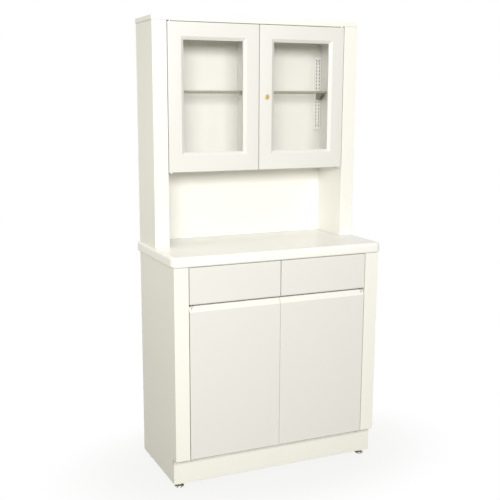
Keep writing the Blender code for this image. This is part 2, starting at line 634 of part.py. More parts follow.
def build_standard(hand, x, paints, frame):
    """A shallow channel on the back panel with two columns of slots."""
    half = STANDARD_WIDTH / 2
    inside = half - STANDARD_SHEET
    web = STANDARD_FRONT + STANDARD_SHEET
    outline = [
        (x - half, STANDARD_REAR), (x - half, STANDARD_FRONT), (x + half, STANDARD_FRONT),
        (x + half, STANDARD_REAR), (x + inside, STANDARD_REAR), (x + inside, web), (x - inside, web),
        (x - inside, STANDARD_REAR),
    ]
    low = FIRST_SLOT - (SLOTS_BELOW + 1) * SLOT_PITCH
    high = FIRST_SLOT + (SLOTS_ABOVE + 1) * SLOT_PITCH
    standard = node(f"shelf_standard_{hand}", prism(outline, "Z", low, high), paints["standard"], frame)
    slots = []
    for row in range(-SLOTS_BELOW, SLOTS_ABOVE + 1):
        middle = FIRST_SLOT + row * SLOT_PITCH
        slot_low = middle - SLOT_HEIGHT / 2
        slot_high = middle + SLOT_HEIGHT / 2
        for column in (x - SLOT_COLUMN, x + SLOT_COLUMN):
            slots.append(box((column - SLOT_WIDTH / 2, STANDARD_FRONT - STANDARD_SHEET, slot_low),
                             (column + SLOT_WIDTH / 2, web + STANDARD_SHEET, slot_high)))
    cut(standard, f"cut_standard_{hand}_slots", merge(slots))


def build_bracket(hand, x, paints, frame):
    """A folded bracket: two blades that hook into the slots, under a saddle that takes the shelf."""
    top = SHELF_HEIGHT - SEAT_GAP
    nose = SHELF_REAR - BRACKET_DEPTH
    outline = [(SHELF_REAR, top), (nose, top), (nose, top - BRACKET_NOSE),
               (SHELF_REAR - BRACKET_TOE, BRACKET_LOW), (SHELF_REAR, BRACKET_LOW)]
    hook_end = SHELF_REAR + HOOK_DEPTH
    for middle in (FIRST_SLOT - SLOT_PITCH, FIRST_SLOT):
        hook_low = middle - HOOK_HEIGHT / 2
        hook_high = middle + HOOK_HEIGHT / 2
        outline += [(SHELF_REAR, hook_low), (hook_end, hook_low), (hook_end, hook_high),
                    (SHELF_REAR, hook_high)]
    half = SLOT_COLUMN + BRACKET_SHEET / 2
    bracket = node(f"shelf_bracket_{hand}", prism(outline, "X", x - half, x + half), paints["bracket"], frame)
    inside = half - BRACKET_SHEET
    cut(bracket, f"cut_bracket_{hand}",
        box((x - inside, nose - CUT_MARGIN, BRACKET_LOW - CUT_MARGIN),
            (x + inside, hook_end + CUT_MARGIN, top - BRACKET_SHEET)))


def glass_door_loop(side, inset, low_extra, depth):
    """One rectangle of a glass door's section, drawn in from the door's edges at a depth from its face."""
    inner = side * (DOOR_INNER + inset)
    outer = side * (DOOR_OUTER - inset)
    low = GLASS_DOOR_LOW + inset + low_extra
    high = GLASS_DOOR_TOP - inset
    y = HUTCH_FRONT + depth
    return [(inner, y, low), (outer, y, low), (outer, y, high), (inner, y, high)]


def build_glass_doors(paints, frame):
    """Bevelled frames, each with a pane in its rebate and a glazing bead behind the pane."""
    opening = FRAME_FACE + FRAME_BEVEL_WIDTH
    rebate = opening - REBATE_LAP
    seat = FRAME_BEVEL_DEPTH + FRAME_LAND
    pane_front = seat + SEAT_GAP
    bead_front = pane_front + PANE_THICKNESS + SEAT_GAP
    bead_rear = FRONT_THICKNESS - BEAD_SETBACK
    pane_inset = rebate + SEAT_GAP
    axes = {}
    for hand, side in SIDES.items():
        place = (side * PIVOT_X, HUTCH_FRONT + PIVOT_DEPTH, GLASS_DOOR_LOW)
        axes[hand] = pivot_frame(f"glass_door_{hand}_axis", place, frame)
        section = [
            (0, 0, EDGE_ROUND), (EDGE_ROUND, 0, 0), (FRAME_FACE, FRAME_LOW_EXTRA, 0),
            (opening, FRAME_LOW_EXTRA, FRAME_BEVEL_DEPTH), (opening, FRAME_LOW_EXTRA, seat),
            (rebate, FRAME_LOW_EXTRA, seat), (rebate, FRAME_LOW_EXTRA, FRONT_THICKNESS),
            (EDGE_ROUND, 0, FRONT_THICKNESS), (0, 0, FRONT_THICKNESS - EDGE_ROUND),
        ]
        door = node(f"glass_door_frame_{hand}",
                    loft([glass_door_loop(side, *row) for row in section], ring=True),
                    paints["front"], axes[hand])
        cutters = pivot_bores(HUTCH_FRONT, GLASS_DOOR_LOW, GLASS_DOOR_TOP, PIN_LENGTH, side)
        if hand == "right":
            cutters.append(rod(LOCK_BODY_RADIUS + PIN_GAP, -CUT_MARGIN, FRONT_THICKNESS + CUT_MARGIN,
                               (LOCK_X, HUTCH_FRONT, LOCK_HEIGHT), "Y", LOCK_SIDES))
        cut(door, f"cut_glass_door_{hand}_bores", merge(cutters))
        pane = [glass_door_loop(side, pane_inset + PANE_BEVEL, FRAME_LOW_EXTRA, pane_front),
                glass_door_loop(side, pane_inset, FRAME_LOW_EXTRA, pane_front + PANE_BEVEL),
                glass_door_loop(side, pane_inset, FRAME_LOW_EXTRA, pane_front + PANE_THICKNESS - PANE_BEVEL),
                glass_door_loop(side, pane_inset + PANE_BEVEL, FRAME_LOW_EXTRA, pane_front + PANE_THICKNESS)]
        node(f"glass_pane_{hand}", loft(pane), paints["glass"], axes[hand])
        bead = [(pane_inset, bead_front), (opening, bead_front), (opening, bead_rear - BEAD_ROUND),
                (opening - BEAD_ROUND, bead_rear), (pane_inset, bead_rear)]
        node(f"glazing_bead_{hand}",
             loft([glass_door_loop(side, inset, FRAME_LOW_EXTRA, depth) for inset, depth in bead], ring=True),
             paints["bead"], axes[hand])
    build_lock(paints, frame, axes["right"])


def build_lock(paints, frame, door_axis):
    """A cam lock through the right door, unlocked with its cam down, and its strike on the partition."""
    centre = (LOCK_X, HUTCH_FRONT, LOCK_HEIGHT)
    head_front = -SEAT_GAP - LOCK_HEAD_DEPTH
    nut_front = FRONT_THICKNESS + SEAT_GAP
    bore = PLUG_RADIUS + PIN_GAP
    barrel = [
        (bore, head_front), (LOCK_HEAD_RADIUS - LOCK_HEAD_ROUND, head_front),
        (LOCK_HEAD_RADIUS, head_front + LOCK_HEAD_ROUND), (LOCK_HEAD_RADIUS, -SEAT_GAP),
        (LOCK_BODY_RADIUS, -SEAT_GAP), (LOCK_BODY_RADIUS, nut_front), (LOCK_NUT_RADIUS, nut_front),
        (LOCK_NUT_RADIUS, nut_front + LOCK_NUT_DEPTH), (bore, nut_front + LOCK_NUT_DEPTH),
    ]
    node("lock_barrel", turned(barrel, centre, "Y", LOCK_SIDES, ring=True), paints["brass"], door_axis,
         smooth=True)

    axis = pivot_frame("lock_axis", centre, door_axis)
    cam_front = HUTCH_BOARD_FRONT - HUTCH_FRONT + CAM_CLEAR
    plug_front = head_front - PLUG_PROUD
    plug = node("lock_plug", rod(PLUG_RADIUS, plug_front, cam_front + CAM_THICKNESS, centre, "Y", LOCK_SIDES),
                paints["brass"], axis, smooth=True)
    half = CAM_WIDTH / 2
    cam = ([(LOCK_X - half, LOCK_HEIGHT - CAM_LENGTH), (LOCK_X + half, LOCK_HEIGHT - CAM_LENGTH)]
           + arc((LOCK_X, LOCK_HEIGHT), half + PIN_GAP + RUN_GAP, 0, 180, CAM_STEPS))
    cam_start = HUTCH_FRONT + cam_front
    cut(plug, "cam_bar", prism(cam, "Y", cam_start, cam_start + CAM_THICKNESS + PIN_GAP), "UNION")
    key_front = HUTCH_FRONT + plug_front
    cut(plug, "cut_keyway",
        box((LOCK_X - KEYWAY_WIDTH / 2, key_front - CUT_MARGIN, LOCK_HEIGHT - KEYWAY_LENGTH / 2),
            (LOCK_X + KEYWAY_WIDTH / 2, key_front + KEYWAY_DEPTH, LOCK_HEIGHT + KEYWAY_LENGTH / 2)))

    start = HUTCH_BOARD_FRONT + STRIKE_SETBACK
    lip = STRIKE_FACE + STRIKE_LIP
    leg = STRIKE_FACE + STRIKE_SHEET
    strike = [(STRIKE_FACE, start), (lip, start), (lip, start + STRIKE_SHEET), (leg, start + STRIKE_SHEET),
              (leg, start + STRIKE_LEG), (STRIKE_FACE, start + STRIKE_LEG)]
    node("lock_strike", prism(strike, "Z", LOCK_HEIGHT - STRIKE_HEIGHT / 2, LOCK_HEIGHT + STRIKE_HEIGHT / 2),
         paints["steel"], frame)


def build_catches(paints, frame):
    """Magnetic catches: a double one under the deck, and a single one for the left glass door."""
    high = DECK_TOP - BOARD - SEAT_GAP
    front = FRONT_REAR + CATCH_FRONT_GAP
    node("base_catch", box((-CATCH_LENGTH / 2, front, high - CATCH_HEIGHT),
                           (CATCH_LENGTH / 2, DECK_FRONT + CATCH_LAP, high)),
         paints["catch"], frame, EDGE_ROUND)
    high = CAP_LOW - SEAT_GAP - STOP_RAIL_HEIGHT - SEAT_GAP
    front = HUTCH_FRONT + FRONT_THICKNESS + CATCH_FRONT_GAP
    node("glass_door_catch", box((-SMALL_CATCH_INSET - SMALL_CATCH_LENGTH / 2, front, high - CATCH_HEIGHT),
                                 (-SMALL_CATCH_INSET + SMALL_CATCH_LENGTH / 2,
                                  HUTCH_BOARD_FRONT + STOP_RAIL_DEPTH, high)),
         paints["catch"], frame, EDGE_ROUND)


def main():
    """Build every piece of the cabinet."""
    clear_scene()
    paints = make_materials()
    cabinet = pivot_frame("cabinet", (0, 0, 0))
    build_base_walls(paints, cabinet)
    build_base_boards(paints, cabinet)
    build_worktop(paints, cabinet)
    build_feet(paints, cabinet)
    build_base_doors(paints, cabinet)
    build_drawers(paints, cabinet)
    build_runners(paints, cabinet)
    build_hutch_walls(paints, cabinet)
    build_hutch_boards(paints, cabinet)
    build_shelves(paints, cabinet)
    build_glass_doors(paints, cabinet)
    build_pivots(paints, cabinet)
    build_catches(paints, cabinet)


main()
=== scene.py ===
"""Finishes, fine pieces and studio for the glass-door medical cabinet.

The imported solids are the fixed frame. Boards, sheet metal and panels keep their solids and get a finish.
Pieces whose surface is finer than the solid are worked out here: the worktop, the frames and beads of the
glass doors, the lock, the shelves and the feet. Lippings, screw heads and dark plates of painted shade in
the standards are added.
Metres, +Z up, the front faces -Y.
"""
import math
from collections import namedtuple

import bmesh
import bpy
import numpy as np
from bpy.props import FloatProperty, FloatVectorProperty, IntProperty, PointerProperty
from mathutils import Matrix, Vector


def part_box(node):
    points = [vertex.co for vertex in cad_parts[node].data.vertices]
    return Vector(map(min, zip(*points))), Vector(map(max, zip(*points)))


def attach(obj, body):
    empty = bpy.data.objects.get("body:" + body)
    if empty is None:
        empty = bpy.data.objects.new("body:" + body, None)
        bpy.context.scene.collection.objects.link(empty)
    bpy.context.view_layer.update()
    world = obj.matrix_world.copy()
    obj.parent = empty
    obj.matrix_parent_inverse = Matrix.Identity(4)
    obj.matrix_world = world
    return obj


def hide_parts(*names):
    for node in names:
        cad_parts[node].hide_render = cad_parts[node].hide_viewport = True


bl_info = {
    "name": "Glass Door Medical Cabinet",
    "version": (1, 0, 0),
    "blender": (4, 5, 0),
    "location": "3D View > Sidebar > Cabinet",
    "description": "Finishes, fine pieces and studio for a clinic cabinet",
    "category": "Object",
}

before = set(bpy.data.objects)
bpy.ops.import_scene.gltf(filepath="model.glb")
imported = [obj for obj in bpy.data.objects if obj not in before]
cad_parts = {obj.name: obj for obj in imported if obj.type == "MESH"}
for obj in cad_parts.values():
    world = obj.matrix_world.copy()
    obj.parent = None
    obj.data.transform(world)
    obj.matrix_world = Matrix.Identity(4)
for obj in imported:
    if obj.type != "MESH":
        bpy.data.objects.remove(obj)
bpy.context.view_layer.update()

# Each hand of a pair, and the way along X from the middle to it
SIDES = {"left": -1, "right": 1}
WHITE = (1, 1, 1)

# Points closer than this are merged, and edges that turn by more than this stay sharp
MERGE_DISTANCE = 1e-7
SHARP_ANGLE = math.radians(32)

# Roughness of the satin paints, the enamels and the plastics, and the height of the pebbles in the enamels
ROUGHNESS = {
    "carcass": 0.34, "front": 0.36, "standard": 0.40, "web": 0.60, "bracket": 0.45, "tray": 0.42,
    "vinyl": 0.55, "nylon": 0.50,
}
PEBBLING = 0.00005
TRAY_PEBBLING = 0.00006

# The camera's sensor in millimetres. Where each lamp stands and looks, its width and height, its tone, and
# whether gloss shows it: the back panels would mirror the lamp behind them.
SENSOR_WIDTH = 36
Lamp = namedtuple("Lamp", "place target size tone gloss")
LAMPS = {
    "key": Lamp((-1.56, -4.4, 2.42), (0, 0, 1.1), (3.6, 1.1), WHITE, True),
    "side": Lamp((-1.6, 0.12, 1.32), (-0.44, 0, 1.25), (0.8, 0.6), (1, 0.98, 0.82), True),
    "top": Lamp((-0.3, -0.12, 3.4), (-0.3, -0.119, 0.9), (2.0, 0.5), WHITE, True),
    "back": Lamp((2.6, 2.6, 0.7), (0, 0, 1.0), (2.4, 0.4), WHITE, False),
}


def setting(kind, **fixed):
    """A kind of property that a user can change, made from a name, a description and a default."""
    return lambda label, note, value: kind(name=label, description=note, default=value, **fixed)


colour = setting(FloatVectorProperty, subtype="COLOR", size=3, min=0, max=1)
share = setting(FloatProperty, subtype="FACTOR", min=0, max=1)
length = setting(FloatProperty, subtype="DISTANCE", unit="LENGTH", min=0)
power = setting(FloatProperty, unit="POWER", min=0)
place = setting(FloatVectorProperty, subtype="TRANSLATION", unit="LENGTH")
angles = setting(FloatVectorProperty, subtype="EULER", unit="ROTATION")
plain_number = setting(FloatProperty, min=0)
plain_pair = setting(FloatVectorProperty, size=2)
facets = setting(IntProperty, min=24)


class CabinetFinishes(bpy.types.PropertyGroup):
    """Colours of the cabinet's finishes."""

    carcass: colour("Carcass", "Warm white satin paint of the walls and boards", (0.900, 0.888, 0.840))
    back: colour("Backs", "Duller satin paint of the back panels", (0.864, 0.852, 0.806))
    front: colour("Fronts", "Cooler white satin paint of the doors and drawers", (0.780, 0.770, 0.746))
    # Painted light: the lower doors' sloped upper edges are painted lighter, for the light they catch
    # facing up
    door_edge: colour("Door edges", "Cream of the lower doors' sloped upper edges", (0.880, 0.866, 0.815))
    worktop: colour("Worktop", "Semi-gloss laminate of the worktop", (0.868, 0.858, 0.826))
    # Painted light: a lighter copy of the worktop's laminate on its round edges, which face the light
    worktop_edge: colour("Worktop edge", "Whiter laminate round the worktop's edge", (0.925, 0.920, 0.895))
    standard: colour("Standards", "White enamel of the slotted standards", (0.960, 0.955, 0.920))
    # Painted shade: a near-black plate behind the standards' slots, where the channel lies in shade
    web: colour("Standard web", "Dark primer inside the standards", (0.045, 0.043, 0.036))
    bracket: colour("Brackets", "Grey enamel of the shelf brackets", (0.300, 0.295, 0.235))
    tray: colour("Trays", "Grey enamel of the drawer trays", (0.640, 0.640, 0.615))
    vinyl: colour("Beads", "Matt vinyl of the glazing beads", (0.780, 0.770, 0.730))
    nylon: colour("Catches", "Matt nylon of the magnetic catches", (0.700, 0.690, 0.650))
    steel: colour("Steel", "Zinc plate of the pivots, runners and studs", (0.620, 0.615, 0.595))
    chrome: colour("Feet", "Bright plate of the levelling feet", (0.640, 0.630, 0.600))
    rubber: colour("Soles", "Black rubber under the feet", (0.030, 0.030, 0.028))
    rubber_dust: colour("Sole dust", "Dust on the rubber under the feet", (0.085, 0.083, 0.075))
    brass: colour("Lock", "Polished brass of the lock", (0.715, 0.580, 0.270))
    tarnish: colour("Lock tarnish", "Brown tarnish on the lock's brass", (0.440, 0.290, 0.110))
    # Painted shade: near black inside the plug's key slot, where the recess lies in shade
    keyway: colour("Keyway", "Dark inside of the keyway", (0.030, 0.022, 0.012))
    pane: colour("Panes", "Faint tint of the door panes", (0.860, 0.930, 0.900))
    pane_cover: share("Pane cover", "Opacity of the door panes", 0.012)
    # Upper face paler and more opaque than the lower: glass tint, and painted reflection up the back panel
    shelf: colour("Shelves", "Tint of the glass shelves from above", (0.920, 0.950, 0.900))
    shelf_cover: share("Shelf cover", "Opacity of a glass shelf's upper face", 0.26)
    shelf_under: colour("Shelf undersides", "Tint of the glass shelves from below", (0.860, 0.920, 0.860))
    shelf_under_cover: share("Underside cover", "Opacity of a glass shelf's lower face", 0.05)
    shelf_edge: colour("Shelf edge", "Ground edge of the glass shelves", (0.330, 0.332, 0.245))


class CabinetSizes(bpy.types.PropertyGroup):
    """Sizes of the pieces that are made here."""

    # The plinth's band is painted shade: the shadow under the doors' overhang, darkened into the paint
    plinth_dust: length("Plinth dust", "Height of the dusty band under the plinth's upper edge", 0.0215)
    plinth_dust_fade: length("Plinth dust fade", "Height over which the dusty band fades out", 0.005)
    door_slope: length("Door slope", "Height of the lower doors' sloped upper edge", 0.0208)
    door_slope_run: length("Door slope run", "Depth of the lower doors' sloped upper edge", 0.013)
    skin: length("Skin", "Depth that tells a face from the next one behind it", 0.0005)
    door_lipping: length("Door lipping", "Thickness of the lippings where the lower doors meet", 0.001)
    drawer_lipping: length("Drawer lipping", "Thickness of the lippings under the drawer fronts", 0.002)
    cap_lipping: length("Cap lipping", "Thickness of the lipping under the cap", 0.002)
    lipping_ease: length("Lipping ease", "Round of a lipping's outer corners", 0.0005)
    worktop_edge: length("Worktop edge", "Upper radius of the worktop's front and end edges", 0.011)
    worktop_under: length("Worktop underside", "Lower radius of the worktop's front and end edges", 0.008)
    worktop_corner: length("Worktop corner", "Plan radius of the worktop's front corners", 0.028)
    frame_face: length("Frame face", "Flat face of a glass door's frame", 0.053)
    frame_low_extra: length("Frame foot", "How much taller the bottom member of a frame is", 0.010)
    frame_bevel: length("Frame bevel", "Width of the bevel round a frame's opening", 0.012)
    frame_bevel_depth: length("Bevel depth", "Depth of the bevel round a frame's opening", 0.008)
    frame_land: length("Frame land", "Thickness of the frame in front of the pane", 0.0015)
    frame_rebate: length("Frame rebate", "How far the pane reaches behind the frame", 0.008)
    frame_arris: length("Frame arris", "Round of a frame's outer edges", 0.0016)
    bead_face: length("Bead face", "Width of a glazing bead", 0.0077)
    bead_round: length("Bead round", "Round of a glazing bead's inner edge", 0.0035)
    shelf_arris: length("Shelf arris", "Ground round of a glass shelf's edges", 0.0014)
    shelf_corner: length("Shelf corner", "Plan radius of a glass shelf's corners", 0.004)
    standard_sheet: length("Standard sheet", "Thickness of the standards' folded sheet", 0.0016)
    # The standards' dark plates are painted shade
    standard_web: length("Standard web", "Thickness of the dark web in a standard", 0.0008)
    lock_head: length("Lock head", "Radius of the lock's head", 0.010)
    lock_round: length("Lock round", "Round of the lock head's rim", 0.0018)
    lock_body: length("Lock body", "Radius of the lock's body", 0.008)
    lock_bore: length("Lock bore", "Radius of the bore that takes the plug", 0.0058)
    lock_nut: length("Lock nut", "Radius to the corners of the lock's nut", 0.011)
    lock_nut_depth: length("Lock nut depth", "Thickness of the lock's nut", 0.004)
    lock_gap: length("Lock gap", "Play between the lock's nut and its body", 0.0002)
    # This depth also bounds the painted shade inside the key slot
    keyway: length("Keyway", "Depth of the keyway in the lock's plug", 0.0035)
    sole_height: length("Sole", "Height of the rubber sole under a foot", 0.0012)
    sole_tread: share("Sole tread", "Lower radius of a sole, as a share of the pad's", 0.86)
    sole_top: share("Sole top", "Upper radius of a sole, as a share of the pad's", 0.90)
    pad_flare: length("Pad flare", "Height at which a foot pad reaches its full radius", 0.0024)
    pad_round: length("Pad round", "Round of a foot pad's shoulder", 0.002)
    pad_edge: length("Pad edge", "Height of a foot pad's rim", 0.006)
    pad_crown: length("Pad crown", "Height of a foot pad's crown", 0.0105)
    crown_radius: length("Crown radius", "Radius of a foot pad's crown", 0.010)
    crown_chamfer: length("Crown chamfer", "Width of the chamfer round the crown", 0.0006)
    crown_drop: length("Crown drop", "Height of the chamfer round the crown", 0.0008)
    nut_radius: length("Nut radius", "Radius to the corners of a foot's locknut", 0.0095)
    nut_height: length("Nut height", "Height of a foot's locknut", 0.006)
    nut_chamfer: length("Nut chamfer", "Width of the chamfers on a foot's locknut", 0.001)
    nut_drop: length("Nut drop", "Height of the chamfers on a foot's locknut", 0.0006)
    stem: length("Stem", "Radius of a foot's threaded stem", 0.005)
    stem_pitch: length("Stem pitch", "Pitch of a foot's thread", 0.0015)
    stem_groove: length("Stem groove", "Depth of a foot's thread", 0.0006)
    screw_head: length("Screw head", "Radius of the screw heads", 0.0034)
    screw_rise: length("Screw rise", "Height of the screw heads", 0.0014)
    pivot_plate: length("Pivot plate", "Thickness of the pivot plates", 0.003)
    pivot_screw: length("Pivot screws", "Spacing of the screws from a pivot plate's rear end", 0.0085)
    standard_screw: length("Standard screws", "Place of the screws from a standard's ends", 0.020)
    strike_leg: length("Strike leg", "Thickness of the leg of the lock's strike", 0.0018)
    strike_screw_rear: length("Strike screws rear", "Place of the screws from the strike's rear", 0.006)
    strike_screw_end: length("Strike screws end", "Place of the screws from the strike's ends", 0.008)
    back_screw: length("Back screws", "Place of the screws from a back panel's edges", 0.012)
    turn_steps: facets("Turn steps", "Facets round a turned piece", 96)


class CabinetStudio(bpy.types.PropertyGroup):
    """Camera, lamps and floor."""

    camera: place("Camera", "Place of the camera", (-1.44712, -3.06071, 1.48863))
    camera_turn: angles(
        "Camera turn", "Turn of the camera", (math.radians(78.751), 0, math.radians(-23.312)))
    lens: plain_number("Lens", "Focal length in millimetres on a 36 mm sensor", 60.668)
    shift: plain_pair("Shift", "Lens shift of the photograph's framing", (0.0391, 0.0359))
    key_power: power("Key power", "Power of the main lamp", 220)
    side_power: power("Side power", "Power of the left side lamp", 3.7)
    top_power: power("Top power", "Power of the overhead lamp", 11)
    back_power: power("Back power", "Power of the lamp behind on the right", 85)
    air: colour("Air", "Light that comes from all round", (0.315, 0.311, 0.260))
    floor: colour("Floor", "Pale floor, as it lights the cabinet", (0.32, 0.31, 0.24))
    floor_reach: length("Floor reach", "Half the width of the floor", 9)
    shadow_near: length("Shadow near", "Where the floor's shadow starts to fade out", 0.45)
    shadow_far: length("Shadow far", "Where the floor's shadow has faded out", 1)
    shadow_stretch: plain_number(
        "Shadow stretch", "How much longer the floor's shadow is in X than in Y", 1.6)
    shadow_cover: share("Shadow cover", "How much white covers the floor's shadow under the cabinet", 0.88)


def math_node(operation, reflected=False):
    """A method for Wire that adds one Math node, with the two sides changed over where reflected."""
    def method(self, other):
        first, second = (other, self) if reflected else (self, other)
        return self.nodes.add("ShaderNodeMath", {"operation": operation}, {0: first, 1: second})
    return method


class Wire:
    """One output socket of a node tree. Arithmetic on it adds Math nodes."""

    def __init__(self, nodes, socket):
        self.nodes = nodes
        self.socket = socket

    __add__ = __radd__ = math_node("ADD")
    __sub__ = math_node("SUBTRACT")
    __rsub__ = math_node("SUBTRACT", reflected=True)
    __mul__ = __rmul__ = math_node("MULTIPLY")
    __gt__ = math_node("GREATER_THAN")
    __lt__ = math_node("LESS_THAN")


class Nodes:
    """A node tree, and the one method that adds any node to it."""

    def __init__(self, tree):
        self.tree = tree
        self.places = {}

    def add(self, kind, settings=None, inputs=None, output=0):
        """Add a node: its settings first, then its sockets' values or wires. Gives one output as a wire."""
        made = self.tree.nodes.new(kind)
        for name, value in (settings or {}).items():
            setattr(made, name, value)
        for name, value in (inputs or {}).items():
            self.feed(made.inputs[name], value)
        return Wire(self, made.outputs[output])

    def feed(self, socket, value):
        """Set a socket to a value, or link a wire to it."""
        if isinstance(value, Wire):
            self.tree.links.new(value.socket, socket)
        else:
            socket.default_value = value

    def place(self, scale=(1, 1, 1), centre=(0, 0, 0)):
        """Object coordinates, drawn out by scale about a centre. The same ones are made once."""
        key = (*scale, *centre)
        if key not in self.places:
            moved = tuple(-s * c for s, c in zip(scale, centre))
            where = self.add("ShaderNodeTexCoord", output="Object")
            inputs = {"Vector": where, "Scale": scale, "Location": moved}
            self.places[key] = self.add("ShaderNodeMapping", inputs=inputs)
        return self.places[key]

    def axis(self, name):
        """X, Y or Z of the Object coordinates."""
        return self.add("ShaderNodeSeparateXYZ", inputs={0: self.place()}, output=name)

    def noise(self, scale, detail, roughness=0.5, stretch=(1, 1, 1)):
        """Cloudy noise from 0 to 1 with features about 1 / scale metres wide, or less by a stretch."""
        return self.add("ShaderNodeTexNoise", inputs={
            "Vector": self.place(stretch), "Scale": scale, "Detail": detail, "Roughness": roughness})

    def fade(self, value, start, end, low=0.0, high=1.0):
        """A smooth step from low to high while a value goes from start to end."""
        return self.add("ShaderNodeMapRange", {"interpolation_type": "SMOOTHSTEP"}, {
            "Value": value, "From Min": start, "From Max": end, "To Min": low, "To Max": high})

    def tint(self, amount, first, second):
        """A colour between two colours."""
        return self.add("ShaderNodeMix", {"data_type": "RGBA"}, {0: amount, 6: first, 7: second}, 2)

    def vary(self, amount, rgb, low, high):
        """A colour that goes from low times itself to high times itself."""
        return self.tint(amount, shade(rgb, low), shade(rgb, high))

    def bump(self, height, distance):
        """A normal from a height from 0 to 1 that stands for a distance."""
        return self.add("ShaderNodeBump", inputs={"Height": height, "Distance": distance, "Strength": 1.0})


def shade(rgb, factor=1.0):
    """A colour made darker or lighter, with its alpha."""
    return (*[min(1.0, part * factor) for part in rgb], 1.0)


# Each recipe gives what the sockets of a Principled BSDF take


def satin_paint(nodes, rgb, roughness):
    """Sprayed satin paint: a slow drift of tone, uneven gloss and fine orange peel."""
    cloud = nodes.noise(2.6, detail=3)
    gloss = nodes.noise(34, detail=4)
    peel = nodes.noise(620, detail=1)
    return {
        "Base Color": nodes.vary(cloud, rgb, 0.988, 1.012),
        "Roughness": roughness + 0.10 * (gloss - 0.5),
        "Normal": nodes.bump(peel, 0.00003),
        "IOR": 1.46,
    }


def banded_paint(nodes, rgb, roughness, band, level, rear):
    """Satin paint with painted light on the upper edge: lighter where z is over a level and y before the
    rear.
    """
    paint = satin_paint(nodes, rgb, roughness)
    edge = (nodes.axis("Z") > level) * (nodes.axis("Y") < rear)
    return {**paint, "Base Color": nodes.tint(edge, paint["Base Color"], shade(band))}


def dusty_paint(nodes, rgb, roughness, level, fade):
    """Satin paint with painted shade on top: a patchy, darker band where z is over a level, after a fade.
    """
    paint = satin_paint(nodes, rgb, roughness)
    # The band is painted shade, for the shadow that falls under an overhang
    band = nodes.fade(nodes.axis("Z"), level, level + fade)
    patchy = 0.22 + 0.12 * nodes.noise(30, detail=3)
    return {
        **paint,
        "Base Color": nodes.tint(band * patchy, paint["Base Color"], shade(rgb, 0.35)),
        "Roughness": paint["Roughness"] + 0.15 * band,
    }


def laminate(nodes, rgb):
    """Semi-gloss laminate: a faint even speckle, a pressed texture and light scuffs in the gloss."""
    speck = nodes.noise(900, detail=2, roughness=0.7)
    scuff = nodes.noise(55, detail=4, roughness=0.6)
    pressed = nodes.noise(480, detail=2)
    return {
        "Base Color": nodes.vary(speck, rgb, 0.985, 1.015),
        "Roughness": 0.22 + 0.06 * scuff,
        "Normal": nodes.bump(pressed, 0.00002),
        "Specular IOR Level": 0.55,
    }


def enamel(nodes, rgb, roughness, pebbling=PEBBLING):
    """Stoved enamel on sheet metal: speckled tone and a pebbled skin."""
    cloud = nodes.noise(9, detail=3)
    pebble = nodes.noise(850, detail=2, roughness=0.6)
    return {
        "Base Color": nodes.vary(cloud, rgb, 0.95, 1.05),
        "Roughness": roughness + 0.12 * (pebble - 0.5),
        "Normal": nodes.bump(pebble, pebbling),
    }


def moulded(nodes, rgb, roughness):
    """Moulded plastic: a fine spark-eroded grain and slightly uneven tone."""
    cloud = nodes.noise(22, detail=2)
    grain = nodes.noise(1400, detail=2, roughness=0.7)
    return {
        "Base Color": nodes.vary(cloud, rgb, 0.97, 1.03),
        "Roughness": roughness + 0.14 * (grain - 0.5),
        "Normal": nodes.bump(grain, 0.00004),
    }


def zinc_plate(nodes, rgb):
    """Zinc plate: crystals of unlike tone, drawn marks along the sheet and dull patches."""
    crystal = nodes.add(
        "ShaderNodeTexVoronoi", {"feature": "F1"}, {"Vector": nodes.place(), "Scale": 190.0}, "Color")
    tone = nodes.add("ShaderNodeSeparateColor", inputs={"Color": crystal})
    drawn = nodes.noise(1.0, detail=3, roughness=0.6, stretch=(900, 30, 900))
    dull = nodes.noise(26, detail=3)
    return {
        "Base Color": nodes.vary(tone, rgb, 0.88, 1.10),
        "Metallic": 1.0,
        "Roughness": 0.34 + 0.16 * dull + 0.10 * drawn,
        "Normal": nodes.bump(drawn, 0.00001),
    }


def bright_plate(nodes, rgb):
    """Bright plate on turned steel: fine turning rings, smears and a faint haze."""
    rings = nodes.noise(1.0, detail=2, stretch=(20, 20, 2600))
    smear = nodes.noise(120, detail=4, roughness=0.6)
    return {
        "Base Color": nodes.vary(smear, rgb, 0.86, 1.12),
        "Metallic": 1.0,
        "Roughness": 0.12 + 0.18 * smear,
        "Normal": nodes.bump(rings, 0.000008),
    }


def turned_brass(nodes, rgb, stain, centre):
    """Polished brass: turning rings about the lock's axis, and a thin brown tarnish in patches."""
    rings = nodes.add("ShaderNodeTexWave", {"wave_type": "RINGS", "rings_direction": "Y"}, {
        "Vector": nodes.place(centre=centre), "Scale": 900.0, "Distortion": 0.4, "Detail": 1.0}, "Fac")
    tarnish = nodes.noise(420, detail=4, roughness=0.6)
    return {
        "Base Color": nodes.tint(tarnish * 0.8, shade(rgb, 1.12), shade(stain)),
        "Metallic": 1.0,
        "Roughness": 0.20 + 0.14 * tarnish,
        "Normal": nodes.bump(rings, 0.000006),
    }


def keyed_brass(nodes, rgb, stain, centre, dark, face, rear):
    """Polished brass, dark in the key slot as painted shade: between a plug's face and the slot's end in y.
    """
    brass = turned_brass(nodes, rgb, stain, centre)
    depth = nodes.axis("Y")
    keyway = (depth > face) * (depth < rear)
    return {
        **brass,
        "Base Color": nodes.tint(keyway, brass["Base Color"], shade(dark)),
        "Roughness": brass["Roughness"] + 0.4 * keyway,
    }


def float_glass(nodes, rgb, cover):
    """Clear float glass: a faint body tint with slow waves in its polish."""
    wave = nodes.noise(7, detail=2)
    film = nodes.noise(60, detail=4, roughness=0.6)
    return {
        "Base Color": nodes.vary(wave, rgb, 0.97, 1.02),
        "Roughness": 0.02 + 0.03 * film,
        "Alpha": cover,
        "Normal": nodes.bump(wave, 0.0001),
    }


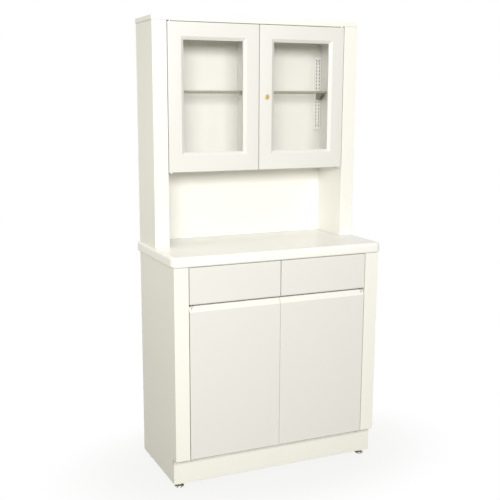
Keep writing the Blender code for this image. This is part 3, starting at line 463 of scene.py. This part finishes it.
def ground_glass(nodes, rgb):
    """Ground edge of a glass shelf: dark greenish depth with a fine ground grain."""
    depth = nodes.noise(1.0, detail=3, stretch=(30, 30, 400))
    ground = nodes.noise(1500, detail=2)
    return {
        "Base Color": nodes.vary(depth, rgb, 0.8, 1.25),
        "Roughness": 0.22 + 0.15 * ground,
        "Normal": nodes.bump(ground, 0.00002),
    }


def moulded_rubber(nodes, rgb, dusty):
    """Black rubber of the soles: dusty, with a dull grain."""
    dust = nodes.noise(160, detail=4, roughness=0.65)
    return {
        "Base Color": nodes.tint(dust, shade(rgb), shade(dusty)),
        "Roughness": 0.60 + 0.25 * dust,
        "Normal": nodes.bump(dust, 0.00006),
    }


def recipes():
    """Each finish by name: its recipe, and the values that this takes after the node tree."""
    colours = bpy.context.scene.cabinet_finishes
    sizes = bpy.context.scene.cabinet_sizes
    door_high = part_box("base_door_left")[1]
    plinth_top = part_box("plinth")[1].z
    plug_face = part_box("lock_plug")[0].y
    brass = (colours.brass, colours.tarnish, axis_of("lock_barrel", "Y"))
    return {
        "carcass_paint": (satin_paint, colours.carcass, ROUGHNESS["carcass"]),
        "back_paint": (satin_paint, colours.back, ROUGHNESS["carcass"]),
        # Painted shade along the top of the plinth, under the doors' overhang
        "plinth_paint": (dusty_paint, colours.carcass, ROUGHNESS["carcass"],
                         plinth_top - sizes.plinth_dust, sizes.plinth_dust_fade),
        "front_paint": (satin_paint, colours.front, ROUGHNESS["front"]),
        # The doors' sloped upper edges are painted lighter: painted light where they face up
        "door_paint": (banded_paint, colours.front, ROUGHNESS["front"], colours.door_edge,
                       door_high.z - sizes.door_slope, door_high.y - sizes.skin),
        "worktop_laminate": (laminate, colours.worktop),
        # Painted light on the round edges: the worktop's laminate made lighter
        "worktop_edge": (laminate, colours.worktop_edge),
        "clear_glass": (float_glass, colours.pane, colours.pane_cover),
        # Partly painted reflection: the upper face's pale, partly opaque tint bounces light up the back
        # panel
        "shelf_glass": (float_glass, colours.shelf, colours.shelf_cover),
        "shelf_glass_under": (float_glass, colours.shelf_under, colours.shelf_under_cover),
        "shelf_glass_edge": (ground_glass, colours.shelf_edge),
        "bead_vinyl": (moulded, colours.vinyl, ROUGHNESS["vinyl"]),
        "catch_nylon": (moulded, colours.nylon, ROUGHNESS["nylon"]),
        "lock_brass": (turned_brass, *brass),
        # The plug's key slot is painted dark: painted shade in the recess
        "plug_brass": (keyed_brass, *brass, colours.keyway,
                       plug_face + sizes.skin, plug_face + sizes.keyway),
        "zinc_steel": (zinc_plate, colours.steel),
        "standard_paint": (enamel, colours.standard, ROUGHNESS["standard"]),
        # Painted shade behind the standards' slots
        "standard_web": (enamel, colours.web, ROUGHNESS["web"]),
        "bracket_enamel": (enamel, colours.bracket, ROUGHNESS["bracket"]),
        "tray_enamel": (enamel, colours.tray, ROUGHNESS["tray"], TRAY_PEBBLING),
        "foot_chrome": (bright_plate, colours.chrome),
        "foot_rubber": (moulded_rubber, colours.rubber, colours.rubber_dust),
    }


FINISHES = {}


def finish(name):
    """The material of that name, made by its recipe the first time it is asked for."""
    if name not in FINISHES:
        recipe, *values = recipes()[name]
        material = bpy.data.materials.new(name)
        material.use_nodes = True
        nodes = Nodes(material.node_tree)
        shader = material.node_tree.nodes["Principled BSDF"]
        for socket, value in recipe(nodes, *values).items():
            nodes.feed(shader.inputs[socket], value)
        FINISHES[name] = material
    return FINISHES[name]


def dress(name, *nodes):
    """Give carried-over solids the finish of that name."""
    for node in nodes:
        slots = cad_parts[node].data.materials
        slots.clear()
        slots.append(finish(name))


def sided(*patterns):
    """Names with {} filled in by left and by right."""
    return [pattern.format(hand) for pattern in patterns for hand in SIDES]


def axis_of(node, axis):
    """A point on a turned node's axis: the middle of its box, but 0 along the axis."""
    low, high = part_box(node)
    centre = (low + high) / 2
    centre["XYZ".index(axis)] = 0
    return centre


def arc(centre, radius, start, end, steps):
    """Points of a circular arc as rows of two, with angles in degrees: centre + radius (cos a, sin a)."""
    angle = np.radians(np.linspace(start, end, steps + 1))
    return np.column_stack([centre[0] + radius * np.cos(angle), centre[1] + radius * np.sin(angle)])


def full_turn(steps):
    """Angles of equal steps round a circle."""
    return 2 * np.pi * np.arange(steps) / steps


def circle(angle):
    """Outline of a circle: 1 at every angle."""
    return np.ones_like(angle)


def hexagon(angle):
    """Outline of a hexagon with corners at 1: cos 30 / cos(angle from the middle of its flat)."""
    sixth = np.pi / 3
    return math.cos(sixth / 2) / np.cos(np.mod(angle, sixth) - sixth / 2)


def turned(profile, centre, axis, steps, outline=circle):
    """Profile (radius r, distance d along the axis) turned about it: centre + r (cos t, sin t) + d axis.

    The outline is a function of the angle t that multiplies the radius.
    """
    profile = np.asarray(profile)
    angle = full_turn(steps)
    radius = profile[:, :1] * outline(angle)
    along = np.broadcast_to(profile[:, 1:], radius.shape)
    first, second = radius * np.cos(angle), radius * np.sin(angle)
    order = {"Y": (first, along, second), "Z": (first, second, along)}[axis]
    return np.stack(order, -1) + np.asarray(centre)


def grid_faces(rows, columns, close_rows=False):
    """Quads of a grid of points numbered row by row. Each row is a loop, and the rows close where asked."""
    index = np.arange(rows * columns).reshape(rows, columns)
    if close_rows:
        index = np.vstack([index, index[:1]])
    index = np.hstack([index, index[:, :1]])
    corners = [index[:-1, :-1], index[:-1, 1:], index[1:, 1:], index[1:, :-1]]
    return np.stack(corners, -1).reshape(-1, 4)


def piece(name, points, faces, body, finishes, replaced=(), face_finish=None):
    """Put points and faces into a mesh, close its poles and seams, and let it ride on a body."""
    mesh = bpy.data.meshes.new(name)
    mesh.from_pydata(np.reshape(points, (-1, 3)).tolist(), [], faces)
    for used in finishes:
        mesh.materials.append(finish(used))
    if face_finish is not None:
        mesh.polygons.foreach_set("material_index", np.asarray(face_finish, np.int32))
    form = bmesh.new()
    form.from_mesh(mesh)
    bmesh.ops.remove_doubles(form, verts=form.verts, dist=MERGE_DISTANCE)
    bmesh.ops.recalc_face_normals(form, faces=form.faces)
    form.to_mesh(mesh)
    form.free()
    mesh.shade_smooth()
    mesh.set_sharp_from_angle(angle=SHARP_ANGLE)
    made = bpy.data.objects.new(name, mesh)
    bpy.context.scene.collection.objects.link(made)
    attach(made, body)
    if replaced:
        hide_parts(*replaced)


def capped(name, grid, body, finishes, replaced=(), sides=0, ends=(0, 0)):
    """Loops of points with the first and last loop filled. sides and ends number their finishes."""
    rows, columns = grid.shape[:2]
    around = grid_faces(rows, columns).tolist()
    first = list(range(columns))
    last = [(rows - 1) * columns + k for k in first]
    face_finish = [sides] * len(around) + list(ends)
    piece(name, grid, around + [first, last], body, finishes, replaced, face_finish)


def ringed(name, grid, body, finishes, replaced=()):
    """Loops of points in a ring: the last loop meets the first."""
    faces = grid_faces(*grid.shape[:2], close_rows=True).tolist()
    piece(name, grid, faces, body, finishes, replaced)


class CABINET_OT_stage(bpy.types.Operator):
    """Make the floor, the lamps and the camera"""

    bl_idname = "cabinet.stage"
    bl_label = "Studio"

    def execute(self, context):
        scene = context.scene
        studio = scene.cabinet_studio
        scene.view_settings.view_transform = "Standard"
        self.make_camera(scene, studio)
        self.make_floor(scene, studio)
        self.make_air(scene, studio)
        for name, lamp in LAMPS.items():
            self.make_lamp(scene, f"{name}_lamp", lamp, getattr(studio, f"{name}_power"))
        return {"FINISHED"}

    def make_camera(self, scene, studio):
        """A camera at the photograph's place and angle."""
        data = bpy.data.cameras.new("photo_camera")
        data.sensor_width = SENSOR_WIDTH
        data.lens = studio.lens
        data.shift_x, data.shift_y = studio.shift
        camera = bpy.data.objects.new("photo_camera", data)
        camera.location = studio.camera
        camera.rotation_euler = studio.camera_turn
        scene.collection.objects.link(camera)
        scene.camera = camera

    def make_lamp(self, scene, name, lamp, energy):
        """A rectangle of light that looks at its target."""
        data = bpy.data.lights.new(name, "AREA")
        data.shape = "RECTANGLE"
        data.size, data.size_y = lamp.size
        data.energy = energy
        data.color = lamp.tone
        made = bpy.data.objects.new(name, data)
        made.location = lamp.place
        aim = [t - p for t, p in zip(lamp.target, lamp.place)]
        made.rotation_euler = Vector(aim).to_track_quat("-Z", "Y").to_euler()
        made.visible_camera = False
        made.visible_glossy = lamp.gloss
        scene.collection.objects.link(made)

    def seen(self, nodes):
        """1 for rays from the camera, from gloss and through glass, which see the white background."""
        camera, gloss, glass = (
            nodes.add("ShaderNodeLightPath", output=f"Is {ray} Ray")
            for ray in ("Camera", "Glossy", "Transmission"))
        return nodes.add("ShaderNodeMath", {"operation": "MINIMUM"}, {0: camera + gloss + glass, 1: 1.0})

    def make_floor(self, scene, studio):
        """A flat floor that is white to the eye, but for a faint shadow near the cabinet, longer in X."""
        corners = np.array([(-1, -1, 0), (1, -1, 0), (1, 1, 0), (-1, 1, 0)]) * studio.floor_reach
        mesh = bpy.data.meshes.new("floor")
        mesh.from_pydata(corners.tolist(), [], [[0, 1, 2, 3]])
        material = bpy.data.materials.new("pale_floor")
        material.use_nodes = True
        tree = material.node_tree
        tree.nodes.remove(tree.nodes["Principled BSDF"])
        nodes = Nodes(tree)
        matt = nodes.add("ShaderNodeBsdfDiffuse", inputs={"Color": shade(studio.floor)})
        white = nodes.add("ShaderNodeEmission", inputs={"Color": shade(WHITE), "Strength": 1.0})
        stretched = nodes.place((1, studio.shadow_stretch, 1))
        far = nodes.add("ShaderNodeVectorMath", {"operation": "LENGTH"}, {0: stretched}, "Value")
        cover = nodes.fade(far, studio.shadow_near, studio.shadow_far, low=studio.shadow_cover)
        mixed = nodes.add("ShaderNodeMixShader", inputs={0: self.seen(nodes) * cover, 1: matt, 2: white})
        nodes.feed(tree.nodes["Material Output"].inputs["Surface"], mixed)
        mesh.materials.append(material)
        floor = bpy.data.objects.new("floor", mesh)
        scene.collection.objects.link(floor)

    def make_air(self, scene, studio):
        """Light from all round, with a white background to the eye."""
        world = bpy.data.worlds.new("studio_air")
        world.use_nodes = True
        scene.world = world
        nodes = Nodes(world.node_tree)
        background = world.node_tree.nodes["Background"]
        sky = nodes.tint(self.seen(nodes), shade(studio.air), shade(WHITE))
        nodes.feed(background.inputs["Color"], sky)


class CABINET_OT_boards(bpy.types.Operator):
    """Paint the walls, boards, backs and plinth"""

    bl_idname = "cabinet.boards"
    bl_label = "Carcass boards"

    def execute(self, context):
        dress("carcass_paint", *sided("base_wall_{}", "hutch_wall_{}"), "base_floor", "drawer_deck",
              "drawer_divider", "hutch_floor", "hutch_cap", "hutch_partition", "door_stop_rail")
        dress("back_paint", "base_back", "hutch_back")
        # The plinth's paint carries painted shade along its top, under the doors
        dress("plinth_paint", "plinth")
        return {"FINISHED"}


class CABINET_OT_fronts(bpy.types.Operator):
    """Paint the lower doors and the drawer fronts"""

    bl_idname = "cabinet.fronts"
    bl_label = "Doors and drawer fronts"

    def execute(self, context):
        dress("front_paint", *sided("drawer_front_{}"))
        # The lower doors' paint has painted light on their sloped upper edges
        dress("door_paint", *sided("base_door_{}"))
        return {"FINISHED"}


class CABINET_OT_lippings(bpy.types.Operator):
    """Make the painted lippings where the lower doors meet, under the drawer fronts and under the cap"""

    bl_idname = "cabinet.lippings"
    bl_label = "Edge lippings"

    def execute(self, context):
        sizes = context.scene.cabinet_sizes
        down = (0, 0, -1)
        for hand, side in SIDES.items():
            low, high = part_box(f"base_door_{hand}")
            start = (low.x if side > 0 else high.x, low.y, low.z)
            up = (0, 0, high.z - low.z)
            slope = (0, 0, sizes.door_slope)
            strip = self.strip(sizes, start, up, (-side, 0, 0), high.y - low.y, sizes.door_lipping, slope)
            self.lay(f"base_door_{hand}_lipping", strip, f"base_door_{hand}", "door_paint", "front_paint")
            low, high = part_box(f"drawer_front_{hand}")
            across = (high.x - low.x, 0, 0)
            strip = self.strip(sizes, low, across, down, high.y - low.y, sizes.drawer_lipping)
            self.lay(f"drawer_front_{hand}_lipping", strip, f"drawer_{hand}", "front_paint", "front_paint")
        low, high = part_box("door_stop_rail")
        cap_low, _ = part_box("hutch_cap")
        door_low, door_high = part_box("glass_door_frame_left")
        start = (low.x, cap_low.y, cap_low.z)
        across = (high.x - low.x, 0, 0)
        strip = self.strip(sizes, start, across, down, door_high.y - door_low.y, sizes.cap_lipping)
        self.lay("hutch_cap_lipping", strip, "cabinet", "carcass_paint", "carcass_paint")
        return {"FINISHED"}

    def strip(self, sizes, start, along, out, depth, thick, slope=(0, 0, 0)):
        """Flat section with two eased corners, as (depth d, rise r), carried along an edge: start
        + d (0, 1, 0) + r out, and the same moved along, with that end's front drawn back by a slope."""
        ease, run = sizes.lipping_ease, sizes.door_slope_run
        outer = np.vstack([
            arc((ease, thick - ease), ease, 180, 90, steps=4),
            [(run, thick)],
            arc((depth - ease, thick - ease), ease, 90, 0, steps=4)])
        inner = outer[::-1] * [1, 0]
        section = np.vstack([outer, inner])
        near = np.array(start) + section[:, :1] * [0, 1, 0] + section[:, 1:] * np.array(out)
        cut = np.maximum(0, 1 - section[:, :1] / run) * np.array(slope)
        return np.stack([near, near + np.array(along) - cut])

    def lay(self, name, grid, body, paint, slot):
        """The strip's sides, and its ends as quads from the outer to the inner face."""
        columns = grid.shape[1]
        first = np.arange(columns // 2 - 1)
        end = np.stack([first, first + 1, columns - 2 - first, columns - 1 - first], -1)
        faces = np.vstack([grid_faces(2, columns), end, end + columns])
        piece(name, grid, faces.tolist(), body, [paint])


class CABINET_OT_worktop(bpy.types.Operator):
    """Make the worktop with its round edges"""

    bl_idname = "cabinet.worktop"
    bl_label = "Worktop"

    def execute(self, context):
        grid = self.surface(context.scene.cabinet_sizes)
        # The round edges take the lighter laminate: painted light
        capped("worktop_slab", grid, "cabinet", ["worktop_laminate", "worktop_edge"],
               ["worktop"], sides=1)
        return {"FINISHED"}

    def surface(self, sizes):
        """Section of two quarter circles, as (inset i, height h), carried round the plan: quarter circles
        of radius corner - i at the front corners, ends drawn in by i, and a straight square back."""
        low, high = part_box("worktop")
        edge, under, corner = sizes.worktop_edge, sizes.worktop_under, sizes.worktop_corner
        section = np.vstack([
            arc((under, low.z + under), under, 270, 180, steps=14),
            arc((edge, high.z - edge), edge, 180, 90, steps=14)])
        inset, height = section[:, :1], section[:, 1:]
        left = arc((0, 0), 1, 180, 270, steps=12)
        right = arc((0, 0), 1, 270, 360, steps=12)
        turn = np.vstack([left, right])
        middle = np.repeat([low.x + corner, high.x - corner], len(left))
        x = np.hstack([low.x + inset, middle + (corner - inset) * turn[:, 0], high.x - inset])
        front = low.y + corner + (corner - inset) * turn[:, 1]
        back = np.full_like(inset, high.y)
        y = np.hstack([back, front, back])
        return np.stack([x, y, np.broadcast_to(height, x.shape)], -1)


class CABINET_OT_glass_doors(bpy.types.Operator):
    """Make the bevelled door frames and glazing beads, and finish the panes"""

    bl_idname = "cabinet.glass_doors"
    bl_label = "Glass doors"

    def execute(self, context):
        sizes = context.scene.cabinet_sizes
        dress("clear_glass", *sided("glass_pane_{}"))
        for hand in SIDES:
            for kind, profile, paint in (
                    ("glass_door_frame", self.frame_profile(sizes), "front_paint"),
                    ("glazing_bead", self.bead_profile(sizes), "bead_vinyl")):
                node = f"{kind}_{hand}"
                grid = self.mitred(profile, node)
                ringed(f"{node}_moulding", grid, f"glass_door_{hand}", [paint], [node])
        return {"FINISHED"}

    def frame_profile(self, sizes):
        """Section of a frame member as (inset, extra inset at the bottom, depth from the face)."""
        low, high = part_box("glass_door_frame_left")
        thick = high.y - low.y
        arris = sizes.frame_arris
        opening = sizes.frame_face + sizes.frame_bevel
        rebate = opening - sizes.frame_rebate
        seat = sizes.frame_bevel_depth + sizes.frame_land
        outer_front = arc((arris, arris), arris, 180, 270, steps=5)
        outer_rear = arc((arris, thick - arris), arris, 90, 180, steps=5)
        inner = np.array([
            (sizes.frame_face, 0), (opening, sizes.frame_bevel_depth), (opening, seat), (rebate, seat),
            (rebate, thick)])
        flat = np.vstack([outer_front, inner, outer_rear])
        counts = [len(outer_front), len(inner), len(outer_rear)]
        extra = np.repeat([0, sizes.frame_low_extra, 0], counts)
        return np.column_stack([flat[:, 0], extra, flat[:, 1]])

    def bead_profile(self, sizes):
        """Section of a glazing bead, with a quarter round towards the opening."""
        low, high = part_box("glazing_bead_left")
        deep = high.y - low.y
        face, nose = sizes.bead_face, sizes.bead_round
        rounded = arc((face - nose, deep - nose), nose, 0, 90, steps=6)
        flat = np.vstack([[(0, 0), (face, 0)], rounded, [(0, deep)]])
        return np.column_stack([flat[:, 0], np.zeros(len(flat)), flat[:, 1]])

    def mitred(self, profile, node):
        """Profile carried round a rectangle: each row is the node's box, drawn in by its inset, at its
        depth, with the bottom drawn in by the extra."""
        low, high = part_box(node)
        inset, extra, depth = (profile[:, k:k + 1] for k in range(3))
        left, right = low.x + inset, high.x - inset
        bottom, top = low.z + inset + extra, high.z - inset
        x = np.hstack([left, right, right, left])
        z = np.hstack([bottom, bottom, top, top])
        return np.stack([x, np.broadcast_to(low.y + depth, x.shape), z], -1)


class CABINET_OT_lock(bpy.types.Operator):
    """Make the lock's barrel and nut, and finish its plug and strike"""

    bl_idname = "cabinet.lock"
    bl_label = "Lock"

    def execute(self, context):
        sizes = context.scene.cabinet_sizes
        dress("plug_brass", "lock_plug")
        dress("zinc_steel", "lock_strike")
        low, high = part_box("lock_barrel")
        centre = axis_of("lock_barrel", "Y")
        door_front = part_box("glass_door_frame_right")[0].y
        body, brass = "glass_door_right", "lock_brass"
        barrel = turned(self.barrel(sizes, low.y, door_front, high.y), centre, "Y", sizes.turn_steps)
        ringed("lock_barrel_turned", barrel, body, [brass], ["lock_barrel"])
        ringed("lock_nut", self.nut(sizes, centre, high.y), body, [brass])
        return {"FINISHED"}

    def barrel(self, sizes, front, face, rear):
        """Section of the barrel: a bored body with a rim that is rounded in front."""
        head, body, bore, round_ = sizes.lock_head, sizes.lock_body, sizes.lock_bore, sizes.lock_round
        rim = arc((head - round_, front + round_), round_, 270, 360, steps=6)
        rest = [(head, face), (body, face), (body, rear), (bore, rear)]
        return np.vstack([[(bore, front)], rim, rest])

    def nut(self, sizes, centre, rear):
        """Nut behind the door: a hexagon outside and a round bore that clears the barrel."""
        ends = np.array([rear - sizes.lock_nut_depth, rear])
        bore = np.column_stack([np.full(2, sizes.lock_body + sizes.lock_gap), ends])
        flats = np.column_stack([np.full(2, sizes.lock_nut), ends])
        bored = turned(bore, centre, "Y", sizes.turn_steps)
        faced = turned(flats, centre, "Y", sizes.turn_steps, hexagon)
        return np.concatenate([bored[:1], faced, bored[1:]])


class CABINET_OT_shelves(bpy.types.Operator):
    """Make the glass shelves and the dark plates of painted shade, and finish the studs, standards and
    brackets
    """

    bl_idname = "cabinet.shelves"
    bl_label = "Shelves"

    def execute(self, context):
        sizes = context.scene.cabinet_sizes
        glass = ["shelf_glass", "shelf_glass_edge", "shelf_glass_under"]
        for node in sided("glass_shelf_{}"):
            shelf = self.surface(sizes, *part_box(node))
            capped(f"{node}_polished", shelf, "cabinet", glass, [node], sides=1, ends=(2, 0))
        dress("zinc_steel", *sided("shelf_stud_wall_{}"), "shelf_stud_partition_front",
              "shelf_stud_partition_rear")
        dress("standard_paint", *sided("shelf_standard_{}"))
        dress("bracket_enamel", *sided("shelf_bracket_{}"))
        for node in sided("shelf_standard_{}"):
            web = self.web(sizes, *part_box(node))
            capped(f"{node}_web", web, "cabinet", ["standard_web"])
        return {"FINISHED"}

    def surface(self, sizes, low, high):
        """Section of two small quarter circles carried round a rectangle with round corners."""
        arris, corner = sizes.shelf_arris, sizes.shelf_corner
        section = np.vstack([
            arc((arris, low.z + arris), arris, 270, 180, steps=4),
            arc((arris, high.z - arris), arris, 180, 90, steps=4)])
        inset, height = section[:, :1], section[:, 1:]
        quarters = [arc((0, 0), 1, start, start + 90, steps=6) for start in (0, 90, 180, 270)]
        turn = np.vstack(quarters)
        left, right = low.x + corner, high.x - corner
        front, back = low.y + corner, high.y - corner
        middle_x = np.repeat([right, left, left, right], len(quarters[0]))
        middle_y = np.repeat([back, back, front, front], len(quarters[0]))
        x = middle_x + (corner - inset) * turn[:, 0]
        y = middle_y + (corner - inset) * turn[:, 1]
        return np.stack([x, y, np.broadcast_to(height, x.shape)], -1)

    def web(self, sizes, low, high):
        """Dark plate of painted shade behind a standard's slots: its box drawn in by the sheet's thickness.
        """
        sheet = sizes.standard_sheet
        left, right = low.x + sheet, high.x - sheet
        bottom, top = low.z + sheet, high.z - sheet
        loop = np.array([(left, 0, bottom), (right, 0, bottom), (right, 0, top), (left, 0, top)])
        depth = np.array([high.y - sizes.standard_web, high.y])
        return loop + depth[:, None, None] * [0, 1, 0]


class CABINET_OT_drawers(bpy.types.Operator):
    """Finish the drawer trays and their runners"""

    bl_idname = "cabinet.drawers"
    bl_label = "Trays and runners"

    def execute(self, context):
        dress("tray_enamel", *sided("drawer_tray_{}"))
        dress("zinc_steel", *sided("runner_{}_inner", "runner_{}_outer"))
        return {"FINISHED"}


class CABINET_OT_pivots(bpy.types.Operator):
    """Finish the pivot plates and the catches"""

    bl_idname = "cabinet.pivots"
    bl_label = "Pivots and catches"

    def execute(self, context):
        dress("zinc_steel", *sided("glass_door_pivot_{}_top", "glass_door_pivot_{}_bottom",
                                   "base_door_pivot_{}_top", "base_door_pivot_{}_bottom"))
        dress("catch_nylon", "base_catch", "glass_door_catch")
        return {"FINISHED"}


class CABINET_OT_feet(bpy.types.Operator):
    """Make the levelling feet: pad, sole, locknut and threaded stem"""

    bl_idname = "cabinet.feet"
    bl_label = "Levelling feet"

    def execute(self, context):
        sizes = context.scene.cabinet_sizes
        steps = sizes.turn_steps
        for name in [f"foot_{hand}_{end}" for hand in SIDES for end in ("front", "rear")]:
            low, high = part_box(name)
            radius = (high.x - low.x) / 2
            centre = axis_of(name, "Z")
            pad = turned(self.pad(sizes, radius), centre, "Z", steps)
            sole = turned(self.sole(sizes, radius), centre, "Z", steps)
            nut = turned(self.nut(sizes), centre, "Z", steps, hexagon)
            stem = self.thread(sizes, centre, sizes.pad_crown, high.z)
            capped(f"{name}_pad", pad, name, ["foot_chrome"], [name])
            capped(f"{name}_sole", sole, name, ["foot_rubber"])
            capped(f"{name}_nut", nut, name, ["foot_chrome"])
            capped(f"{name}_stem", stem, name, ["foot_chrome"])
        return {"FINISHED"}

    def pad(self, sizes, radius):
        """Pad section: a rim with a round shoulder and a crown that rises to the nut."""
        round_ = sizes.pad_round
        rim = [(radius * sizes.sole_top, sizes.sole_height), (radius, sizes.pad_flare)]
        shoulder = arc((radius - round_, sizes.pad_edge - round_), round_, 0, 80, steps=6)
        crown = [(sizes.crown_radius, sizes.pad_crown - sizes.crown_drop),
                 (sizes.crown_radius - sizes.crown_chamfer, sizes.pad_crown)]
        return np.vstack([rim, shoulder, crown])

    def sole(self, sizes, radius):
        """Sole section: a low cone from the floor up to the pad."""
        return [(radius * sizes.sole_tread, 0), (radius * sizes.sole_top, sizes.sole_height)]

    def nut(self, sizes):
        """Nut section: straight, with a chamfer at both ends."""
        low, high = sizes.pad_crown, sizes.pad_crown + sizes.nut_height
        wide, narrow = sizes.nut_radius, sizes.nut_radius - sizes.nut_chamfer
        return [(narrow, low), (wide, low + sizes.nut_drop), (wide, high - sizes.nut_drop), (narrow, high)]

    def thread(self, sizes, centre, low, high, steps=24, rows_per_pitch=6):
        """Stem whose radius falls and rises once a pitch on a helix: r - d |saw(z / pitch - t / turn)|."""
        rows = int((high - low) / sizes.stem_pitch * rows_per_pitch)
        z = np.linspace(low, high, rows)[:, None]
        angle = full_turn(steps)
        phase = np.mod(z / sizes.stem_pitch - angle / (2 * np.pi), 1.0)
        radius = sizes.stem - sizes.stem_groove * np.abs(2 * phase - 1)
        x, y = centre[0] + radius * np.cos(angle), centre[1] + radius * np.sin(angle)
        return np.stack([x, y, np.broadcast_to(z, x.shape)], -1)


class CABINET_OT_screws(bpy.types.Operator):
    """Make the screw heads of the pivots, standards, strike and backs"""

    bl_idname = "cabinet.screws"
    bl_label = "Screws"

    # One head of radius 1 and height about 1: its rings, its steps round, its dome and its cross recess
    rings = (0, 0.12, 0.24, 0.36, 0.48, 0.6, 0.75, 0.88, 0.96, 1.0)
    steps = 32
    dome_square = 1.04
    cross_half_width = 0.13
    cross_reach = 0.55
    cross_depth = 0.55

    def execute(self, context):
        sizes = context.scene.cabinet_sizes
        for name, places in (
                ("pivot_screws", self.pivot_places(sizes)),
                ("standard_screws", self.standard_places(sizes)),
                ("strike_screws", self.strike_places(sizes)),
                ("back_screws", self.back_places(sizes))):
            points, faces = self.heads(sizes, places)
            piece(name, points, faces, "cabinet", ["zinc_steel"])
        return {"FINISHED"}

    def heads(self, sizes, places):
        """Domed heads on flat bases: height (1.04 - r^2)^0.5, less a cross recess where x or y is small.
        Each stands at its place, with its height along the place's normal."""
        ring = np.array(self.rings)[:, None]
        angle = full_turn(self.steps)
        x, y = ring * np.cos(angle), ring * np.sin(angle)
        dome = np.broadcast_to(np.sqrt(self.dome_square - ring ** 2), x.shape)
        narrow = np.minimum(np.abs(x), np.abs(y)) < self.cross_half_width
        inside = np.maximum(np.abs(x), np.abs(y)) < self.cross_reach
        rise = np.where(narrow & inside, dome - self.cross_depth, dome)
        top = np.stack([x * sizes.screw_head, y * sizes.screw_head, rise * sizes.screw_rise], -1)
        under = np.zeros_like(top[:1])
        head = np.concatenate([top, under])
        where = np.array([place for place, _ in places], float)[:, None, None]
        up = np.array([normal for _, normal in places], float)[:, None, None]
        side = np.where(np.abs(up[..., :1]) > 0.5, [0, 1, 0], [1, 0, 0])
        other = np.cross(up, side)
        points = where + head[..., :1] * side + head[..., 1:2] * other + head[..., 2:] * up
        one = grid_faces(*head.shape[:2])
        count = head.shape[0] * head.shape[1]
        faces = one + count * np.arange(len(places))[:, None, None]
        return points, faces.reshape(-1, 4).tolist()

    def pivot_places(self, sizes):
        """Two heads on the open face of each pivot plate, which looks down, but up on the drawer deck."""
        found = []
        for pattern, end, offset, way in (
                ("glass_door_pivot_{}_top", 1, -sizes.pivot_plate, -1),
                ("glass_door_pivot_{}_bottom", 0, 0, -1),
                ("base_door_pivot_{}_top", 1, 0, 1),
                ("base_door_pivot_{}_bottom", 0, 0, -1)):
            for low, high in map(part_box, sided(pattern)):
                x, z = (low.x + high.x) / 2, (low, high)[end].z + offset
                found += [((x, high.y - sizes.pivot_screw * k, z), (0, 0, way)) for k in (1, 2)]
        return found

    def standard_places(self, sizes):
        """A head between the columns of slots at both ends of each standard."""
        found = []
        for low, high in map(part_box, sided("shelf_standard_{}")):
            levels = (low.z + sizes.standard_screw, high.z - sizes.standard_screw)
            found += [(((low.x + high.x) / 2, low.y, z), (0, -1, 0)) for z in levels]
        return found

    def strike_places(self, sizes):
        """Two heads on the strike's leg."""
        low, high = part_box("lock_strike")
        x, y = low.x + sizes.strike_leg, high.y - sizes.strike_screw_rear
        levels = (low.z + sizes.strike_screw_end, high.z - sizes.strike_screw_end)
        return [((x, y, z), (1, 0, 0)) for z in levels]

    def back_places(self, sizes, count=5):
        """Heads round the edge of both back panels, with a count of them along each edge."""
        found = []
        for low, high in map(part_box, ("base_back", "hutch_back")):
            across = np.linspace(low.x + sizes.back_screw, high.x - sizes.back_screw, count)
            levels = np.linspace(low.z + sizes.back_screw, high.z - sizes.back_screw, count)
            spots = [(x, z) for x in across for z in levels[[0, -1]]]
            spots += [(x, z) for z in levels[1:-1] for x in across[[0, -1]]]
            found += [((x, high.y, z), (0, 1, 0)) for x, z in spots]
        return found


class CABINET_PT_panel(bpy.types.Panel):
    """The cabinet's pieces in the sidebar"""

    bl_idname = "CABINET_PT_panel"
    bl_label = "Medical cabinet"
    bl_space_type = "VIEW_3D"
    bl_region_type = "UI"
    bl_category = "Cabinet"

    def draw(self, context):
        for operator in OPERATORS:
            self.layout.operator(operator.bl_idname)


OPERATORS = (
    CABINET_OT_stage, CABINET_OT_boards, CABINET_OT_fronts, CABINET_OT_lippings, CABINET_OT_worktop,
    CABINET_OT_glass_doors, CABINET_OT_lock, CABINET_OT_shelves, CABINET_OT_drawers, CABINET_OT_pivots,
    CABINET_OT_feet, CABINET_OT_screws,
)
GROUPS = {
    "cabinet_finishes": CabinetFinishes,
    "cabinet_sizes": CabinetSizes,
    "cabinet_studio": CabinetStudio,
}


def register():
    """Register the classes, and hang the settings on the scene."""
    for group in (*GROUPS.values(), *OPERATORS, CABINET_PT_panel):
        bpy.utils.register_class(group)
    for name, group in GROUPS.items():
        setattr(bpy.types.Scene, name, PointerProperty(type=group))


def unregister():
    """Take the settings and the classes away again."""
    for name in GROUPS:
        delattr(bpy.types.Scene, name)
    for group in (CABINET_PT_panel, *reversed(OPERATORS), *GROUPS.values()):
        bpy.utils.unregister_class(group)


def main():
    """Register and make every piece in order."""
    register()
    for operator in OPERATORS:
        getattr(bpy.ops.cabinet, operator.bl_idname.split(".")[1])()


if __name__ == "__main__":
    main()
